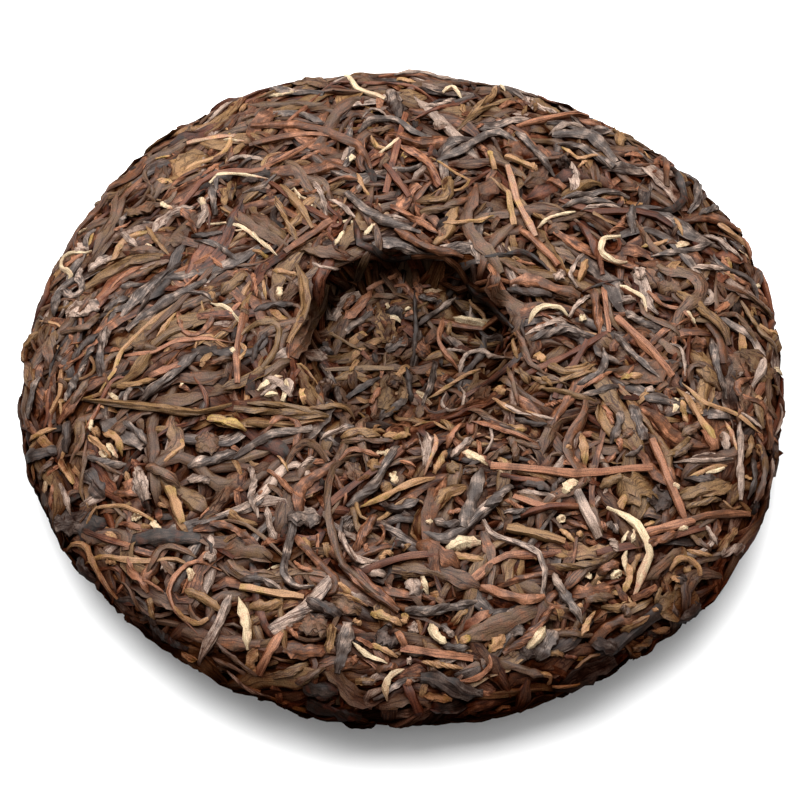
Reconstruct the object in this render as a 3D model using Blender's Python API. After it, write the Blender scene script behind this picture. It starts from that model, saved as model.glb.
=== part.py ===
# A pressed disc of pu erh tea, lying on its domed face with the dimpled back upwards.
# The core is one turned solid with an uneven outline. The largest rolled leaves, stems
# and leaf flakes are fused to it, half sunk, so that the whole is a single solid.
# Metres, +Z up, origin at the centre of the small flat that the disc rests on.

import math
import random

import bmesh
import bpy
import numpy as np
from mathutils import Vector, noise

# Core of the disc, which the fused leaves stand 1 to 2 mm proud of
DISC_RADIUS = 0.0968
DISC_HEIGHT = 0.0250
EQUATOR_HEIGHT = 0.0155
TOP_SQUARENESS = 5.0
UNDER_SQUARENESS = 2.2

# Underside: a small flat to rest on, a low step up from it that leaves fill, then the dome
REST_RADIUS = 0.0240
STEP_WIDTH = 0.0080
STEP_HEIGHT = 0.0010
DOME_START = 0.0400

# Dimple in the middle of the back, its wall steep on the far side and easy on the near side
DIMPLE_CENTRE = (0.0003, 0.0032)
DIMPLE_RIM_RADIUS = 0.0290
DIMPLE_FLOOR_RADIUS = 0.0208
DIMPLE_FLOOR_SHIFT = 0.0040
DIMPLE_DEPTH = 0.0098

# Uneven outline: waves round the rim, their height, and the angle of the first crest
RIM_WAVES = (
    (3, 0.00030, math.radians(22)),
    (4, 0.00062, math.radians(33)),
    (5, 0.00057, math.radians(-31)),
    (6, 0.00028, math.radians(25)),
)

# Low lumps left by the cloth that the disc was pressed in
LUMP_HEIGHT = 0.0007
LUMP_SPACING = 0.0210

# Mesh of the core: sectors round it, and rings as shares of its radius
SECTORS = 44
TOP_RINGS = (0.09, 0.18, 0.22, 0.255, 0.285, 0.31, 0.345, 0.47, 0.62, 0.77, 0.88, 0.95, 0.987)
UNDER_RINGS = (0.985, 0.93, 0.84, 0.71, 0.55, 0.40, 0.29)
SECTION_STEPS = 240
MERGE_DISTANCE = 0.00001

# Sizes of a leaf of each kind: share of the leaves, length, width, thickness,
# bend from end to end, and stretches along it
LEAF_KINDS = {
    "rolled": (0.54, 0.0340, 0.0042, 0.0032, math.radians(85), 4),
    "stem": (0.20, 0.0310, 0.0029, 0.0029, math.radians(12), 2),
    "flake": (0.26, 0.0230, 0.0086, 0.0026, math.radians(25), 2),
}
TOP_LEAVES = 190
UNDER_LEAVES = 100
MOST_TRIANGLES = 11600
TOP_FACE_SHARE = 0.55
LEAF_SEED = 357
SIZE_SPREAD = 0.22
PLACE_SPREAD = 0.0035
HEADING_SPREAD = math.radians(38)
FLOW_SPACING = 0.034
END_WIDTH = 0.35
END_SINK = 0.60
LEAST_FLOOR_GAP = 0.0003
TOP_REACH = 0.0140
UNDER_START = 0.0300

TEA_COLOUR = (0.115, 0.062, 0.036, 1.0)
TEA_ROUGHNESS = 0.62


def top_height(radius):
    rise = DISC_HEIGHT - EQUATOR_HEIGHT
    share = min(radius / DISC_RADIUS, 1.0)
    return EQUATOR_HEIGHT + rise * math.sqrt(1.0 - share**TOP_SQUARENESS)


def smooth_share(value, start, end):
    """0 before start, 1 past end, and an even S between them."""
    share = min(max((value - start) / (end - start), 0.0), 1.0)
    return share * share * (3.0 - 2.0 * share)


def under_height(radius):
    step = STEP_HEIGHT * smooth_share(radius, REST_RADIUS, REST_RADIUS + STEP_WIDTH)
    share = min(max((radius - DOME_START) / (DISC_RADIUS - DOME_START), 0.0), 1.0)
    return step + (EQUATOR_HEIGHT - step) * (1.0 - math.sqrt(1.0 - share**UNDER_SQUARENESS))


def section():
    """Distance along the section, radius and height, from the top's centre to the underside's."""
    steps = np.sin(np.linspace(0.0, math.pi / 2, SECTION_STEPS)) * DISC_RADIUS
    top = [(r, top_height(r)) for r in steps]
    under = [(r, under_height(r)) for r in steps[-2::-1]]
    points = np.array(top + under)
    gaps = np.hypot(*np.diff(points, axis=0).T)
    return np.concatenate([[0.0], np.cumsum(gaps)]), points[:, 0], points[:, 1]


SECTION_DISTANCE, SECTION_RADIUS, SECTION_HEIGHT = section()
EQUATOR_DISTANCE = SECTION_DISTANCE[SECTION_STEPS - 1]


def dimple_depth(x, y):
    out_x, out_y = x - DIMPLE_CENTRE[0], y - DIMPLE_CENTRE[1]
    away = math.hypot(out_x, out_y)
    floor = DIMPLE_FLOOR_RADIUS + DIMPLE_FLOOR_SHIFT * out_y / max(away, 1e-6)
    return DIMPLE_DEPTH * (1.0 - smooth_share(away, floor, DIMPLE_RIM_RADIUS))


def on_core(radius, height, angle, on_top):
    """The point of the uneven core for a point of its plain section."""
    wave = sum(size * math.cos(count * (angle - crest)) for count, size, crest in RIM_WAVES)
    share = radius / DISC_RADIUS
    x = (radius + wave * share**2) * math.cos(angle)
    y = (radius + wave * share**2) * math.sin(angle)
    lump = LUMP_HEIGHT * noise.noise(Vector((x, y, height)) / LUMP_SPACING)
    if on_top:
        return Vector((x, y, height + lump - dimple_depth(x, y)))
    on_slope = smooth_share(radius, DOME_START, DISC_RADIUS)
    return Vector((x, y, height + lump * on_slope))


def core_point(a, b, from_top):
    """A point of the core from chart coordinates: distance along the section, and angle round it."""
    along, angle = math.hypot(a, b), math.atan2(b, a)
    if not from_top:
        along = SECTION_DISTANCE[-1] - along
    radius = float(np.interp(along, SECTION_DISTANCE, SECTION_RADIUS))
    height = float(np.interp(along, SECTION_DISTANCE, SECTION_HEIGHT))
    return on_core(radius, height, angle, along <= EQUATOR_DISTANCE)


def core_normal(a, b, from_top, step=0.0015):
    across = core_point(a + step, b, from_top) - core_point(a - step, b, from_top)
    along = core_point(a, b + step, from_top) - core_point(a, b - step, from_top)
    normal = across.cross(along).normalized()
    return normal if from_top else -normal


def new_object(name, mesh_data):
    mesh = bpy.data.meshes.new(name)
    mesh_data.to_mesh(mesh)
    mesh_data.free()
    made = bpy.data.objects.new(name, mesh)
    bpy.context.scene.collection.objects.link(made)
    return made


def make_core():
    """The section turned about the upright axis and closed below, then made uneven."""
    top = [(share * DISC_RADIUS, top_height(share * DISC_RADIUS)) for share in TOP_RINGS]
    under = [(share * DISC_RADIUS, under_height(share * DISC_RADIUS)) for share in UNDER_RINGS]
    outline = [(0.0, DISC_HEIGHT), *top, (DISC_RADIUS, EQUATOR_HEIGHT), *under, (REST_RADIUS, 0.0)]
    bm = bmesh.new()
    corners = [bm.verts.new((radius, 0.0, height)) for radius, height in outline]
    for upper, lower in zip(corners, corners[1:]):
        bm.edges.new((upper, lower))
    bmesh.ops.spin(
        bm,
        geom=bm.verts[:] + bm.edges[:],
        cent=(0.0, 0.0, 0.0),
        axis=(0.0, 0.0, 1.0),
        angle=2 * math.pi,
        steps=SECTORS,
        use_merge=True,
    )
    bmesh.ops.remove_doubles(bm, verts=bm.verts, dist=MERGE_DISTANCE)
    bmesh.ops.holes_fill(bm, edges=[edge for edge in bm.edges if edge.is_boundary])
    for vert in bm.verts:
        x, y, z = vert.co
        on_top = z > EQUATOR_HEIGHT - MERGE_DISTANCE
        vert.co = on_core(math.hypot(x, y), z, math.atan2(y, x), on_top)
    bmesh.ops.recalc_face_normals(bm, faces=bm.faces)
    return new_object("tea_cake", bm)


def leaf_heading(a, b, from_top, draw):
    """Leaves run round the rim near the edge, and drift in patches further in."""
    shift = 0.0 if from_top else 5.0
    drift = noise.noise(Vector((a / FLOW_SPACING, b / FLOW_SPACING, shift)))
    round_rim = math.atan2(b, a) + math.pi / 2
    pull = min(math.hypot(a, b) / EQUATOR_DISTANCE, 1.0) ** 3
    inner = 2.0 * math.pi * drift
    turn = math.atan2(math.sin(2 * (round_rim - inner)), math.cos(2 * (round_rim - inner))) / 2
    return inner + pull * turn + draw.uniform(-1, 1) * HEADING_SPREAD


def leaf_route(a, b, heading, length, bend, stretches):
    """Chart points of a leaf that curves evenly from end to end about its middle."""
    half = [(a, b)]
    step = length / stretches
    for i in range(stretches // 2):
        turned = heading + bend * (i + 0.5) / stretches
        last = half[-1]
        half.append((last[0] + step * math.cos(turned), last[1] + step * math.sin(turned)))
    for i in range(stretches // 2):
        turned = heading - bend * (i + 0.5) / stretches
        first = half[0]
        half.insert(0, (first[0] - step * math.cos(turned), first[1] - step * math.sin(turned)))
    return half


def leaf_section(centre, side, up, width, thickness):
    """Corners of the trapezium across a leaf, its narrow face on top."""
    half, narrow = width / 2, width / 2 * TOP_FACE_SHARE
    low, high = -thickness / 2, thickness / 2
    places = [centre + side * out + up * rise
              for out, rise in ((half, low), (narrow, high), (-narrow, high), (-half, low))]
    for place in places:
        place.z = max(place.z, LEAST_FLOOR_GAP)
    return places


def make_leaf(name, route, from_top, width, thickness):
    """A tapering bar extruded along the route, its middle proud of the core and its ends sunk in it."""
    centres = [core_point(a, b, from_top) for a, b in route]
    sections = []
    for i, (a, b) in enumerate(route):
        before, after = centres[max(i - 1, 0)], centres[min(i + 1, len(centres) - 1)]
        up = core_normal(a, b, from_top)
        side = up.cross(after - before).normalized()
        at_end = i in (0, len(route) - 1)
        centre = centres[i] - up * (END_SINK * thickness if at_end else 0.0)
        across = width * (END_WIDTH if at_end else 1.0)
        sections.append(leaf_section(centre, side, up, across, thickness))
    bm = bmesh.new()
    face = bm.faces.new([bm.verts.new(place) for place in sections[0]])
    for section_places in sections[1:]:
        region = [face, *face.edges, *face.verts]
        grown = bmesh.ops.extrude_face_region(bm, geom=region)["geom"]
        face = next(item for item in grown if isinstance(item, bmesh.types.BMFace))
        for vert, place in zip(face.verts, section_places):
            vert.co = place
    bmesh.ops.recalc_face_normals(bm, faces=bm.faces)
    bmesh.ops.triangulate(bm, faces=bm.faces)
    return new_object(name, bm)


def kind_of(share):
    for name, sizes in LEAF_KINDS.items():
        share -= sizes[0]
        if share <= 0:
            return name, sizes
    return name, sizes


def scatter_leaves(count, from_top, nearest, furthest, draw):
    """Leaves spread evenly over a ring of the surface, from a golden-angle spiral."""
    golden = math.pi * (3.0 - math.sqrt(5.0))
    made = []
    for i in range(count):
        share = (i + 0.5) / count
        away = math.sqrt(nearest**2 + share * (furthest**2 - nearest**2))
        a = away * math.cos(i * golden) + draw.uniform(-1, 1) * PLACE_SPREAD
        b = away * math.sin(i * golden) + draw.uniform(-1, 1) * PLACE_SPREAD
        kind, (_, length, width, thickness, bend, stretches) = kind_of(draw.random())
        size = 1.0 + draw.uniform(-1, 1) * SIZE_SPREAD
        bend *= draw.uniform(-1, 1)
        heading = leaf_heading(a, b, from_top, draw)
        route = leaf_route(a, b, heading, length * size, bend, stretches)
        made.append(make_leaf(f"{kind}_{i}", route, from_top, width * size, thickness))
    return made


def fuse(core, leaves):
    """One Boolean union of the core and all its leaves, applied."""
    group = bpy.data.collections.new("leaves")
    bpy.context.scene.collection.children.link(group)
    for leaf in leaves:
        bpy.context.scene.collection.objects.unlink(leaf)
        group.objects.link(leaf)
    union = core.modifiers.new("fused leaves", "BOOLEAN")
    union.operation = "UNION"
    union.operand_type = "COLLECTION"
    union.collection = group
    union.solver = "MANIFOLD"
    bpy.context.view_layer.update()
    fused = core.evaluated_get(bpy.context.evaluated_depsgraph_get())
    mesh = bpy.data.meshes.new_from_object(fused)
    core.modifiers.clear()
    core.data = mesh
    for leaf in leaves:
        bpy.data.objects.remove(leaf)
    bpy.data.collections.remove(group)


def thin_out(disc):
    """Merges the slivers that the union leaves where leaf meets core, down to a set number of faces."""
    bm = bmesh.new()
    bm.from_mesh(disc.data)
    bmesh.ops.triangulate(bm, faces=bm.faces)
    share = MOST_TRIANGLES / len(bm.faces)
    bm.to_mesh(disc.data)
    bm.free()
    if share < 1.0:
        thinner = disc.modifiers.new("fewer slivers", "DECIMATE")
        thinner.ratio = share
        thinner.use_collapse_triangulate = True


def keep_outer_shell(disc):
    """Drops loose scraps and the walls of any hollow that fusing has sealed."""
    bm = bmesh.new()
    bm.from_mesh(disc.data)
    left = set(bm.verts)
    shells = []
    while left:
        shell, todo = set(), [next(iter(left))]
        while todo:
            vert = todo.pop()
            if vert in shell:
                continue
            shell.add(vert)
            todo += [edge.other_vert(vert) for edge in vert.link_edges]
        left -= shell
        shells.append(shell)
    largest = max(shells, key=len)
    bmesh.ops.delete(bm, geom=[v for v in bm.verts if v not in largest], context="VERTS")
    bm.to_mesh(disc.data)
    bm.free()


def tea_material():
    material = bpy.data.materials.new("pressed tea leaves")
    material.use_nodes = True
    shader = material.node_tree.nodes["Principled BSDF"]
    shader.inputs["Base Color"].default_value = TEA_COLOUR
    shader.inputs["Roughness"].default_value = TEA_ROUGHNESS
    shader.inputs["Metallic"].default_value = 0.0
    return material


def main():
    for old in list(bpy.data.objects):
        bpy.data.objects.remove(old)
    draw = random.Random(LEAF_SEED)
    disc = make_core()
    leaves = scatter_leaves(TOP_LEAVES, True, 0.0, EQUATOR_DISTANCE + TOP_REACH, draw)
    under_reach = SECTION_DISTANCE[-1] - EQUATOR_DISTANCE - TOP_REACH / 2
    leaves += scatter_leaves(UNDER_LEAVES, False, UNDER_START, under_reach, draw)
    fuse(disc, leaves)
    keep_outer_shell(disc)
    thin_out(disc)
    disc.data.materials.clear()
    disc.data.materials.append(tea_material())


main()
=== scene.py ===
import math

import bmesh
import bpy
import numpy as np
from mathutils import Matrix, Vector, noise


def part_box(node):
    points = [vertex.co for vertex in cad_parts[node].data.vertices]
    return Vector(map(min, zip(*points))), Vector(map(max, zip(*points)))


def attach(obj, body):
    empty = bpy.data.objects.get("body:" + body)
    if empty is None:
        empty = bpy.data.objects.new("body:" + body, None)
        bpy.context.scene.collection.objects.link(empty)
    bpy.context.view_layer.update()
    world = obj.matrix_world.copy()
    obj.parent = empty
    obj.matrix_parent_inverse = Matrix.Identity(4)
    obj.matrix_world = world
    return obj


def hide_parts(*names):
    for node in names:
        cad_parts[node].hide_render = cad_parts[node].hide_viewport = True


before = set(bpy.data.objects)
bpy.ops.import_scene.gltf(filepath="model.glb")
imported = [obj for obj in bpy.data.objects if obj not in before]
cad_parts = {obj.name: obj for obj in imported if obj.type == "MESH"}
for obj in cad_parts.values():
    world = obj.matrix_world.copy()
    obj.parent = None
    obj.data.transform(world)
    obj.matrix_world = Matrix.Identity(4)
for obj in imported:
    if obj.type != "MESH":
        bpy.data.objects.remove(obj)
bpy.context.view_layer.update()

mm = 0.001
fullTurn = 2 * math.pi
tiny = 1e-6  # keeps a division by nearly nothing in bounds
draw = np.random.default_rng(357)  # every random choice comes from here

# The disc, by the same formulas as its solid
cakeLow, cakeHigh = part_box("tea_cake")
proudOut, proudUp = 0.8 * mm, 1.9 * mm  # of the solid's fused leaves, at its side and on its top
cake = {
    "radius": (cakeHigh.x - cakeLow.x) / 2 - proudOut,  # of the bare core
    "height": cakeHigh.z - proudUp,
    "equator": 15.5 * mm,
    "topSquareness": 5.0,
    "underSquareness": 2.2,
    "restRadius": 24 * mm,
    "stepWidth": 8 * mm,
    "stepHeight": 1 * mm,
    "domeStart": 40 * mm,
    # Waves round the rim: how many, how high, and where one of them is highest, in degrees
    "waves": ((3, 0.30 * mm, 22), (4, 0.62 * mm, 33), (5, 0.57 * mm, -31), (6, 0.28 * mm, 25)),
    "lumpHeight": 0.7 * mm,
    "lumpSpacing": 21 * mm,
}
dimple = {
    "centre": (0.3 * mm, 3.2 * mm),
    "rimRadius": 29 * mm,
    "floorRadius": 20.8 * mm,
    "floorShift": 4 * mm,  # makes the far wall the steep one
    "depth": 9.8 * mm,
}


def mix(low, high, share):
    return low + (high - low) * share


def smoothShare(value, start, end):
    share = np.clip((value - start) / (end - start), 0, 1)
    return share * share * (3 - 2 * share)


def topHeight(radius):
    share = np.minimum(radius / cake["radius"], 1)
    rise = cake["height"] - cake["equator"]
    return cake["equator"] + rise * np.sqrt(1 - share ** cake["topSquareness"])


def underHeight(radius):
    rest, dome = cake["restRadius"], cake["domeStart"]
    step = cake["stepHeight"] * smoothShare(radius, rest, rest + cake["stepWidth"])
    share = np.clip((radius - dome) / (cake["radius"] - dome), 0, 1)
    return step + (cake["equator"] - step) * (1 - np.sqrt(1 - share ** cake["underSquareness"]))


def runLengths(points):  # how far along a run of flat points each one is
    return np.concatenate([[0], np.cumsum(np.hypot(*np.diff(points, axis=0).T))])


def makeSection(steps=240):  # from the middle of the back, round the rim, to the middle of the underside
    radius = np.sin(np.linspace(0, math.pi / 2, steps)) * cake["radius"]
    top = np.column_stack([radius, topHeight(radius)])
    under = np.column_stack([radius, underHeight(radius)])[-2::-1]
    points = np.concatenate([top, under])
    along = runLengths(points)
    return {"along": along, "radius": points[:, 0], "height": points[:, 1], "equator": along[steps - 1]}


section = makeSection()


def dimpleDepth(x, y):
    outX, outY = x - dimple["centre"][0], y - dimple["centre"][1]
    away = np.hypot(outX, outY)
    floor = dimple["floorRadius"] + dimple["floorShift"] * outY / np.maximum(away, tiny)
    return dimple["depth"] * (1 - smoothShare(away, floor, dimple["rimRadius"]))


def noiseAt(points, spacing, seed=0.0):
    return np.array([noise.noise(Vector(place)) for place in points / spacing + seed])


def coreSurface(a, b, fromTop):  # a, b: distance along the section as a flat chart, in metres
    along, angle = np.hypot(a, b), np.arctan2(b, a)
    if not fromTop:
        along = section["along"][-1] - along
    plain = np.interp(along, section["along"], section["radius"])
    height = np.interp(along, section["along"], section["height"])
    wave = sum(size * np.cos(count * (angle - math.radians(crest))) for count, size, crest in cake["waves"])
    radius = plain + wave * (plain / cake["radius"]) ** 2
    x, y = radius * np.cos(angle), radius * np.sin(angle)
    lump = cake["lumpHeight"] * noiseAt(np.column_stack([x, y, height]), cake["lumpSpacing"])
    slope = smoothShare(plain, cake["domeStart"], cake["radius"])
    z = height + np.where(along <= section["equator"], lump - dimpleDepth(x, y), lump * slope)
    return np.column_stack([x, y, z])


# The camera of the photograph
photo = {
    "pixels": 800,
    "elevation": math.radians(57.6),
    "roll": math.radians(-1.42),
    "distance": 600 * mm,
    "lookHeight": 12 * mm,
    "lookPixel": (404.3, 378.2),  # where the looked-at point is in the frame
    "focalPixels": 2341.8,
}


def addCamera():
    data = bpy.data.cameras.new("camera")
    camera = bpy.data.objects.new("camera", data)
    bpy.context.scene.collection.objects.link(camera)
    elevation = photo["elevation"]
    back = Vector((0, -math.cos(elevation), math.sin(elevation)))
    camera.location = Vector((0, 0, photo["lookHeight"])) + back * photo["distance"]
    camera.rotation_mode = "QUATERNION"
    level = (-back).to_track_quat("-Z", "Y")
    camera.rotation_quaternion = level @ Matrix.Rotation(-photo["roll"], 3, "Z").to_quaternion()
    data.sensor_width = 36
    data.lens = photo["focalPixels"] * data.sensor_width / photo["pixels"]
    data.shift_x = -(photo["lookPixel"][0] / photo["pixels"] - 0.5)
    data.shift_y = photo["lookPixel"][1] / photo["pixels"] - 0.5
    data.clip_start, data.clip_end = 0.01, 20
    bpy.context.scene.camera = camera
    return Matrix.LocRotScale(camera.location, camera.rotation_quaternion, None)


def photoPixels(points):  # where points of the object are in the photograph
    seen = points @ np.array(cameraPlace.inverted().to_3x3()).T + np.array(cameraPlace.inverted().translation)
    wide = photo["focalPixels"] * seen[..., :2] / -seen[..., 2:]
    return np.stack([photo["lookPixel"][0] + wide[..., 0], photo["lookPixel"][1] - wide[..., 1]], axis=-1)


print("camera")
cameraPlace = addCamera()

# Two flat charts of the surface, on which the leaves are laid one after another
charts = {
    "step": 0.8 * mm,  # between the chart's points
    "reliefStep": 0.4 * mm,  # between the points of its relief
    "routeStep": 0.5 * mm,  # between the points of a leaf's route
    "leastSteps": 8,  # of a route
    "topReach": section["equator"] + 20 * mm,  # from the middle of the back, round the rim
    "underReach": section["along"][-1] - section["equator"] - 4 * mm,
    "edge": 7 * mm,  # no leaf's middle is nearer the chart's edge than this
    "middle": 1 * mm,  # so near its middle, the chart is as wide as the surface
}


def makeChart(fromTop):
    reach = charts["topReach"] if fromTop else charts["underReach"]
    full = reach + charts["edge"]
    line = np.linspace(-full, full, int(2 * full / charts["step"]) + 1)
    a, b = (grid.ravel() for grid in np.meshgrid(line, line, indexing="ij"))
    points = coreSurface(a, b, fromTop).reshape(len(line), len(line), 3)
    normals = np.cross(np.gradient(points, line, axis=0), np.gradient(points, line, axis=1))
    normals /= np.linalg.norm(normals, axis=2, keepdims=True) * (1 if fromTop else -1)
    cells = int(2 * full / charts["reliefStep"]) + 1
    return {
        "fromTop": fromTop, "reach": reach, "full": full, "points": points, "normals": normals,
        "relief": np.zeros((cells, cells)), "owner": np.full((cells, cells), -1), "leaves": [],
    }


def readChart(chart, grid, places):  # places: n x 2 on the chart
    last = grid.shape[0] - 1
    spot = np.clip((places + chart["full"]) / (2 * chart["full"]) * last, 0, last - tiny)
    cell = spot.astype(int)
    part = (spot - cell)[:, :, None]
    i, j = cell.T
    near = grid[i, j] * (1 - part[:, 1]) + grid[i, j + 1] * part[:, 1]
    far = grid[i + 1, j] * (1 - part[:, 1]) + grid[i + 1, j + 1] * part[:, 1]
    return near * (1 - part[:, 0]) + far * part[:, 0]


def chartCells(chart, places):
    last = chart["relief"].shape[0] - 1
    spot = np.rint((places + chart["full"]) / (2 * chart["full"]) * last)
    return np.clip(spot, 0, last).astype(int)


# Tones of tea, each with its colour, in an order in which one can drift into the next
teaTones = {
    "cream": (0.385, 0.298, 0.190),
    "peach": (0.215, 0.105, 0.066),
    "mustard": (0.235, 0.155, 0.042),
    "tan": (0.236, 0.126, 0.064),
    "oliveTan": (0.121, 0.065, 0.028),
    "oliveBrown": (0.098, 0.054, 0.023),
    "umber": (0.065, 0.036, 0.0225),
    "midBrown": (0.067, 0.024, 0.010),
    "russet": (0.176, 0.076, 0.040),
    "darkRusset": (0.067, 0.020, 0.009),
    "black": (0.012, 0.008, 0.006),
    "darkSlate": (0.031, 0.0185, 0.014),
    "slate": (0.055, 0.040, 0.033),
    "greyBrown": (0.190, 0.133, 0.103),
}
toneNames = list(teaTones)


# What a leaf of each kind is like: (least, most) of each size and of the width of its ends, its bend, wander
# and spin in radians, the share of them with a hooked end, the sides and rings of its mesh, how stiffly it
# bridges what is under it, its ridges as a share of half its width, and how many of them have each tone
leafKinds = {
    "wideTwists": {
        "length": (14 * mm, 34 * mm), "width": (2.2 * mm, 3.6 * mm), "thickness": (1.0 * mm, 1.6 * mm),
        "bend": 1.0, "wander": 0.5, "hook": 0.15, "ends": (0.25, 0.8), "spin": 3.5, "shape": "twisted",
        "sides": 10, "rings": 14, "stiff": 0.25, "ridge": 0.24,
        "tones": {
            "umber": 38, "midBrown": 17, "slate": 15, "darkSlate": 8, "greyBrown": 8, "oliveBrown": 7,
            "darkRusset": 5, "oliveTan": 2,
        },
    },
    "narrowTwists": {
        "length": (12 * mm, 30 * mm), "width": (1.3 * mm, 2.3 * mm), "thickness": (0.9 * mm, 1.4 * mm),
        "bend": 1.2, "wander": 0.6, "hook": 0.25, "ends": (0.25, 0.8), "spin": 5.0, "shape": "twisted",
        "sides": 8, "rings": 14, "stiff": 0.25, "ridge": 0.22,
        "tones": {
            "umber": 34, "midBrown": 19, "slate": 14, "darkSlate": 6, "greyBrown": 8, "oliveBrown": 7,
            "darkRusset": 8, "oliveTan": 3, "tan": 4,
        },
    },
    "foldedLeaves": {
        "length": (12 * mm, 28 * mm), "width": (2.6 * mm, 4.8 * mm), "thickness": (1.0 * mm, 1.6 * mm),
        "bend": 0.7, "wander": 0.4, "hook": 0.12, "ends": (0.25, 0.7), "spin": 1.5, "shape": "folded",
        "sides": 10, "rings": 10, "stiff": 0.15, "ridge": 0.40,
        "tones": {
            "umber": 32, "midBrown": 20, "oliveBrown": 14, "oliveTan": 8, "slate": 11, "greyBrown": 8,
            "darkRusset": 7,
        },
    },
    "leafFlakes": {
        "length": (8 * mm, 16 * mm), "width": (4.0 * mm, 7.5 * mm), "thickness": (0.7 * mm, 1.0 * mm),
        "bend": 0.3, "wander": 0.2, "hook": 0.0, "ends": (0.2, 0.7), "spin": 0.4, "shape": "flake",
        "sides": 14, "rings": 12, "stiff": 0.10, "ridge": 0.60,
        "tones": {
            "umber": 38, "midBrown": 24, "oliveBrown": 20, "oliveTan": 6, "darkSlate": 6, "greyBrown": 6,
        },
    },
    "stems": {
        "length": (13 * mm, 36 * mm), "width": (1.3 * mm, 2.2 * mm), "thickness": (1.2 * mm, 1.9 * mm),
        "bend": 0.18, "wander": 0.2, "hook": 0.0, "ends": (0.75, 0.95), "spin": 0.5, "shape": "stem",
        "sides": 8, "rings": 7, "stiff": 0.8, "ridge": 0.10,
        "tones": {"midBrown": 28, "darkRusset": 30, "russet": 14, "tan": 6, "umber": 22},
    },
    "strands": {
        "length": (12 * mm, 36 * mm), "width": (0.8 * mm, 1.6 * mm), "thickness": (0.8 * mm, 1.3 * mm),
        "bend": 2.4, "wander": 1.0, "hook": 0.55, "ends": (0.2, 0.6), "spin": 5.0, "shape": "twisted",
        "sides": 6, "rings": 15, "stiff": 0.25, "ridge": 0.20,
        "tones": {
            "umber": 24, "midBrown": 20, "oliveTan": 14, "darkRusset": 12, "slate": 8, "tan": 12, "cream": 5,
            "black": 5,
        },
    },
    "buds": {
        "length": (9 * mm, 17 * mm), "width": (1.6 * mm, 2.6 * mm), "thickness": (1.3 * mm, 1.8 * mm),
        "bend": 1.0, "wander": 0.3, "hook": 0.2, "ends": (0.10, 0.45), "spin": 2.0, "shape": "folded",
        "sides": 10, "rings": 11, "stiff": 0.4, "ridge": 0.34,
        "tones": {"tan": 60, "cream": 40},
    },
    "crumbs": {
        "length": (2.5 * mm, 7 * mm), "width": (0.9 * mm, 2.4 * mm), "thickness": (0.7 * mm, 1.3 * mm),
        "bend": 0.6, "wander": 0.2, "hook": 0.2, "ends": (0.3, 0.9), "spin": 1.0, "shape": "folded",
        "sides": 6, "rings": 4, "stiff": 0.4, "ridge": 0.25,
        "tones": {
            "umber": 32, "midBrown": 20, "black": 12, "oliveTan": 12, "darkRusset": 8, "russet": 5, "tan": 8,
            "cream": 3,
        },
    },
}

# How leaves of one kind differ, and how a leaf's width runs
variety = {
    "widthBySize": (0.6, 0.4),  # how much of its width goes with its size as a whole, and how much is chance
    "lengthBySize": (0.7, 0.3),
    "turns": 0.6,  # spread of its bend and its spin
    "hookTurn": (1.2, 3.0),
    "hookStart": 0.72,  # of the way along it
    "roll": 0.12,  # spread of its tilt to one side
    "ridgeLimit": 1.6,  # of its kind's ridges
    "tone": 0.3,  # of the step between two tones, either way
    "drift": 0.06,  # spread of its tone from one end to the other, of all the tones
    "wrinkled": (0.3, 1.3),  # the smoothest leaf and the most wrinkled one
    "shade": 0.17,  # spread of its light round 1
    "shadeLimits": (0.5, 1.6),
    "tapers": (0.24, 0.30),  # how much of it narrows towards its start and its end
    "waves": ((0.13, 11), (0.09, 23)),  # along its edges: depth, and radians from end to end
}

laying = {
    "topLeaves": 3600,
    "underLeaves": 1900,
    "topCrumbs": 900,  # laid last, in the deepest gaps
    "underCrumbs": 500,
    "shares": {  # of the leaves in the heap
        "wideTwists": 22, "narrowTwists": 25, "foldedLeaves": 25, "leafFlakes": 4, "stems": 6, "strands": 17,
        "buds": 1,
    },
    "hollowShares": {  # on the floor of the dimple
        "wideTwists": 12, "narrowTwists": 16, "foldedLeaves": 26, "leafFlakes": 20, "stems": 3, "strands": 13,
        "crumbs": 10,
    },
    "hollowSize": 0.72,  # of the leaves there
    "hollowTones": {
        "umber": 34, "oliveBrown": 22, "slate": 14, "darkSlate": 8, "midBrown": 8, "oliveTan": 6,
        "darkRusset": 4, "russet": 2, "tan": 2,
    },
    "choices": 8,  # places looked at for a leaf, of which the lowest is taken
    "lookRound": 2 * mm,  # a place is as low as the mean of what lies this far round it
    "acrossStep": 0.45 * mm,  # a leaf covers points this far apart across it
    "bed": (0.45, 0.55),  # it lies so much on the mean of what is under it, and so much on its highest
    "sink": (0.15, 0.45),  # how deep it is pressed in, as a share of its thickness
    "droop": 0.55,  # of its thickness, at its ends
    "droopStart": 0.2,  # of its length, from each end
    "sideHeight": 0.5,  # of its thickness, at its sides
    "crownCurve": 0.9,  # 1 would be a full ellipse
}

flow = {
    "patch": 34 * mm,
    "patchTurn": 1.2,  # turns between patches
    "spread": 0.42,  # in radians, from leaf to leaf
    "rimPull": 3.5,  # turns leaves along the rim, by this power of the way out
    "rimPower": 5.0,
    "rimMost": 1.05,
    "ringPull": 2.6,  # turns them along the far edge of the dimple
    "ringPlace": 0.98,  # of the dimple's radius
    "ringWidth": 0.24,
    "leftPull": 1.6,  # turns them to the slant, on the left of the back
    "leftSlant": math.radians(42),
    "leftStart": (25 * mm, 60 * mm),
    "leftPower": 6,  # of the way out, by which the slant gives way to the rim
}


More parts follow.
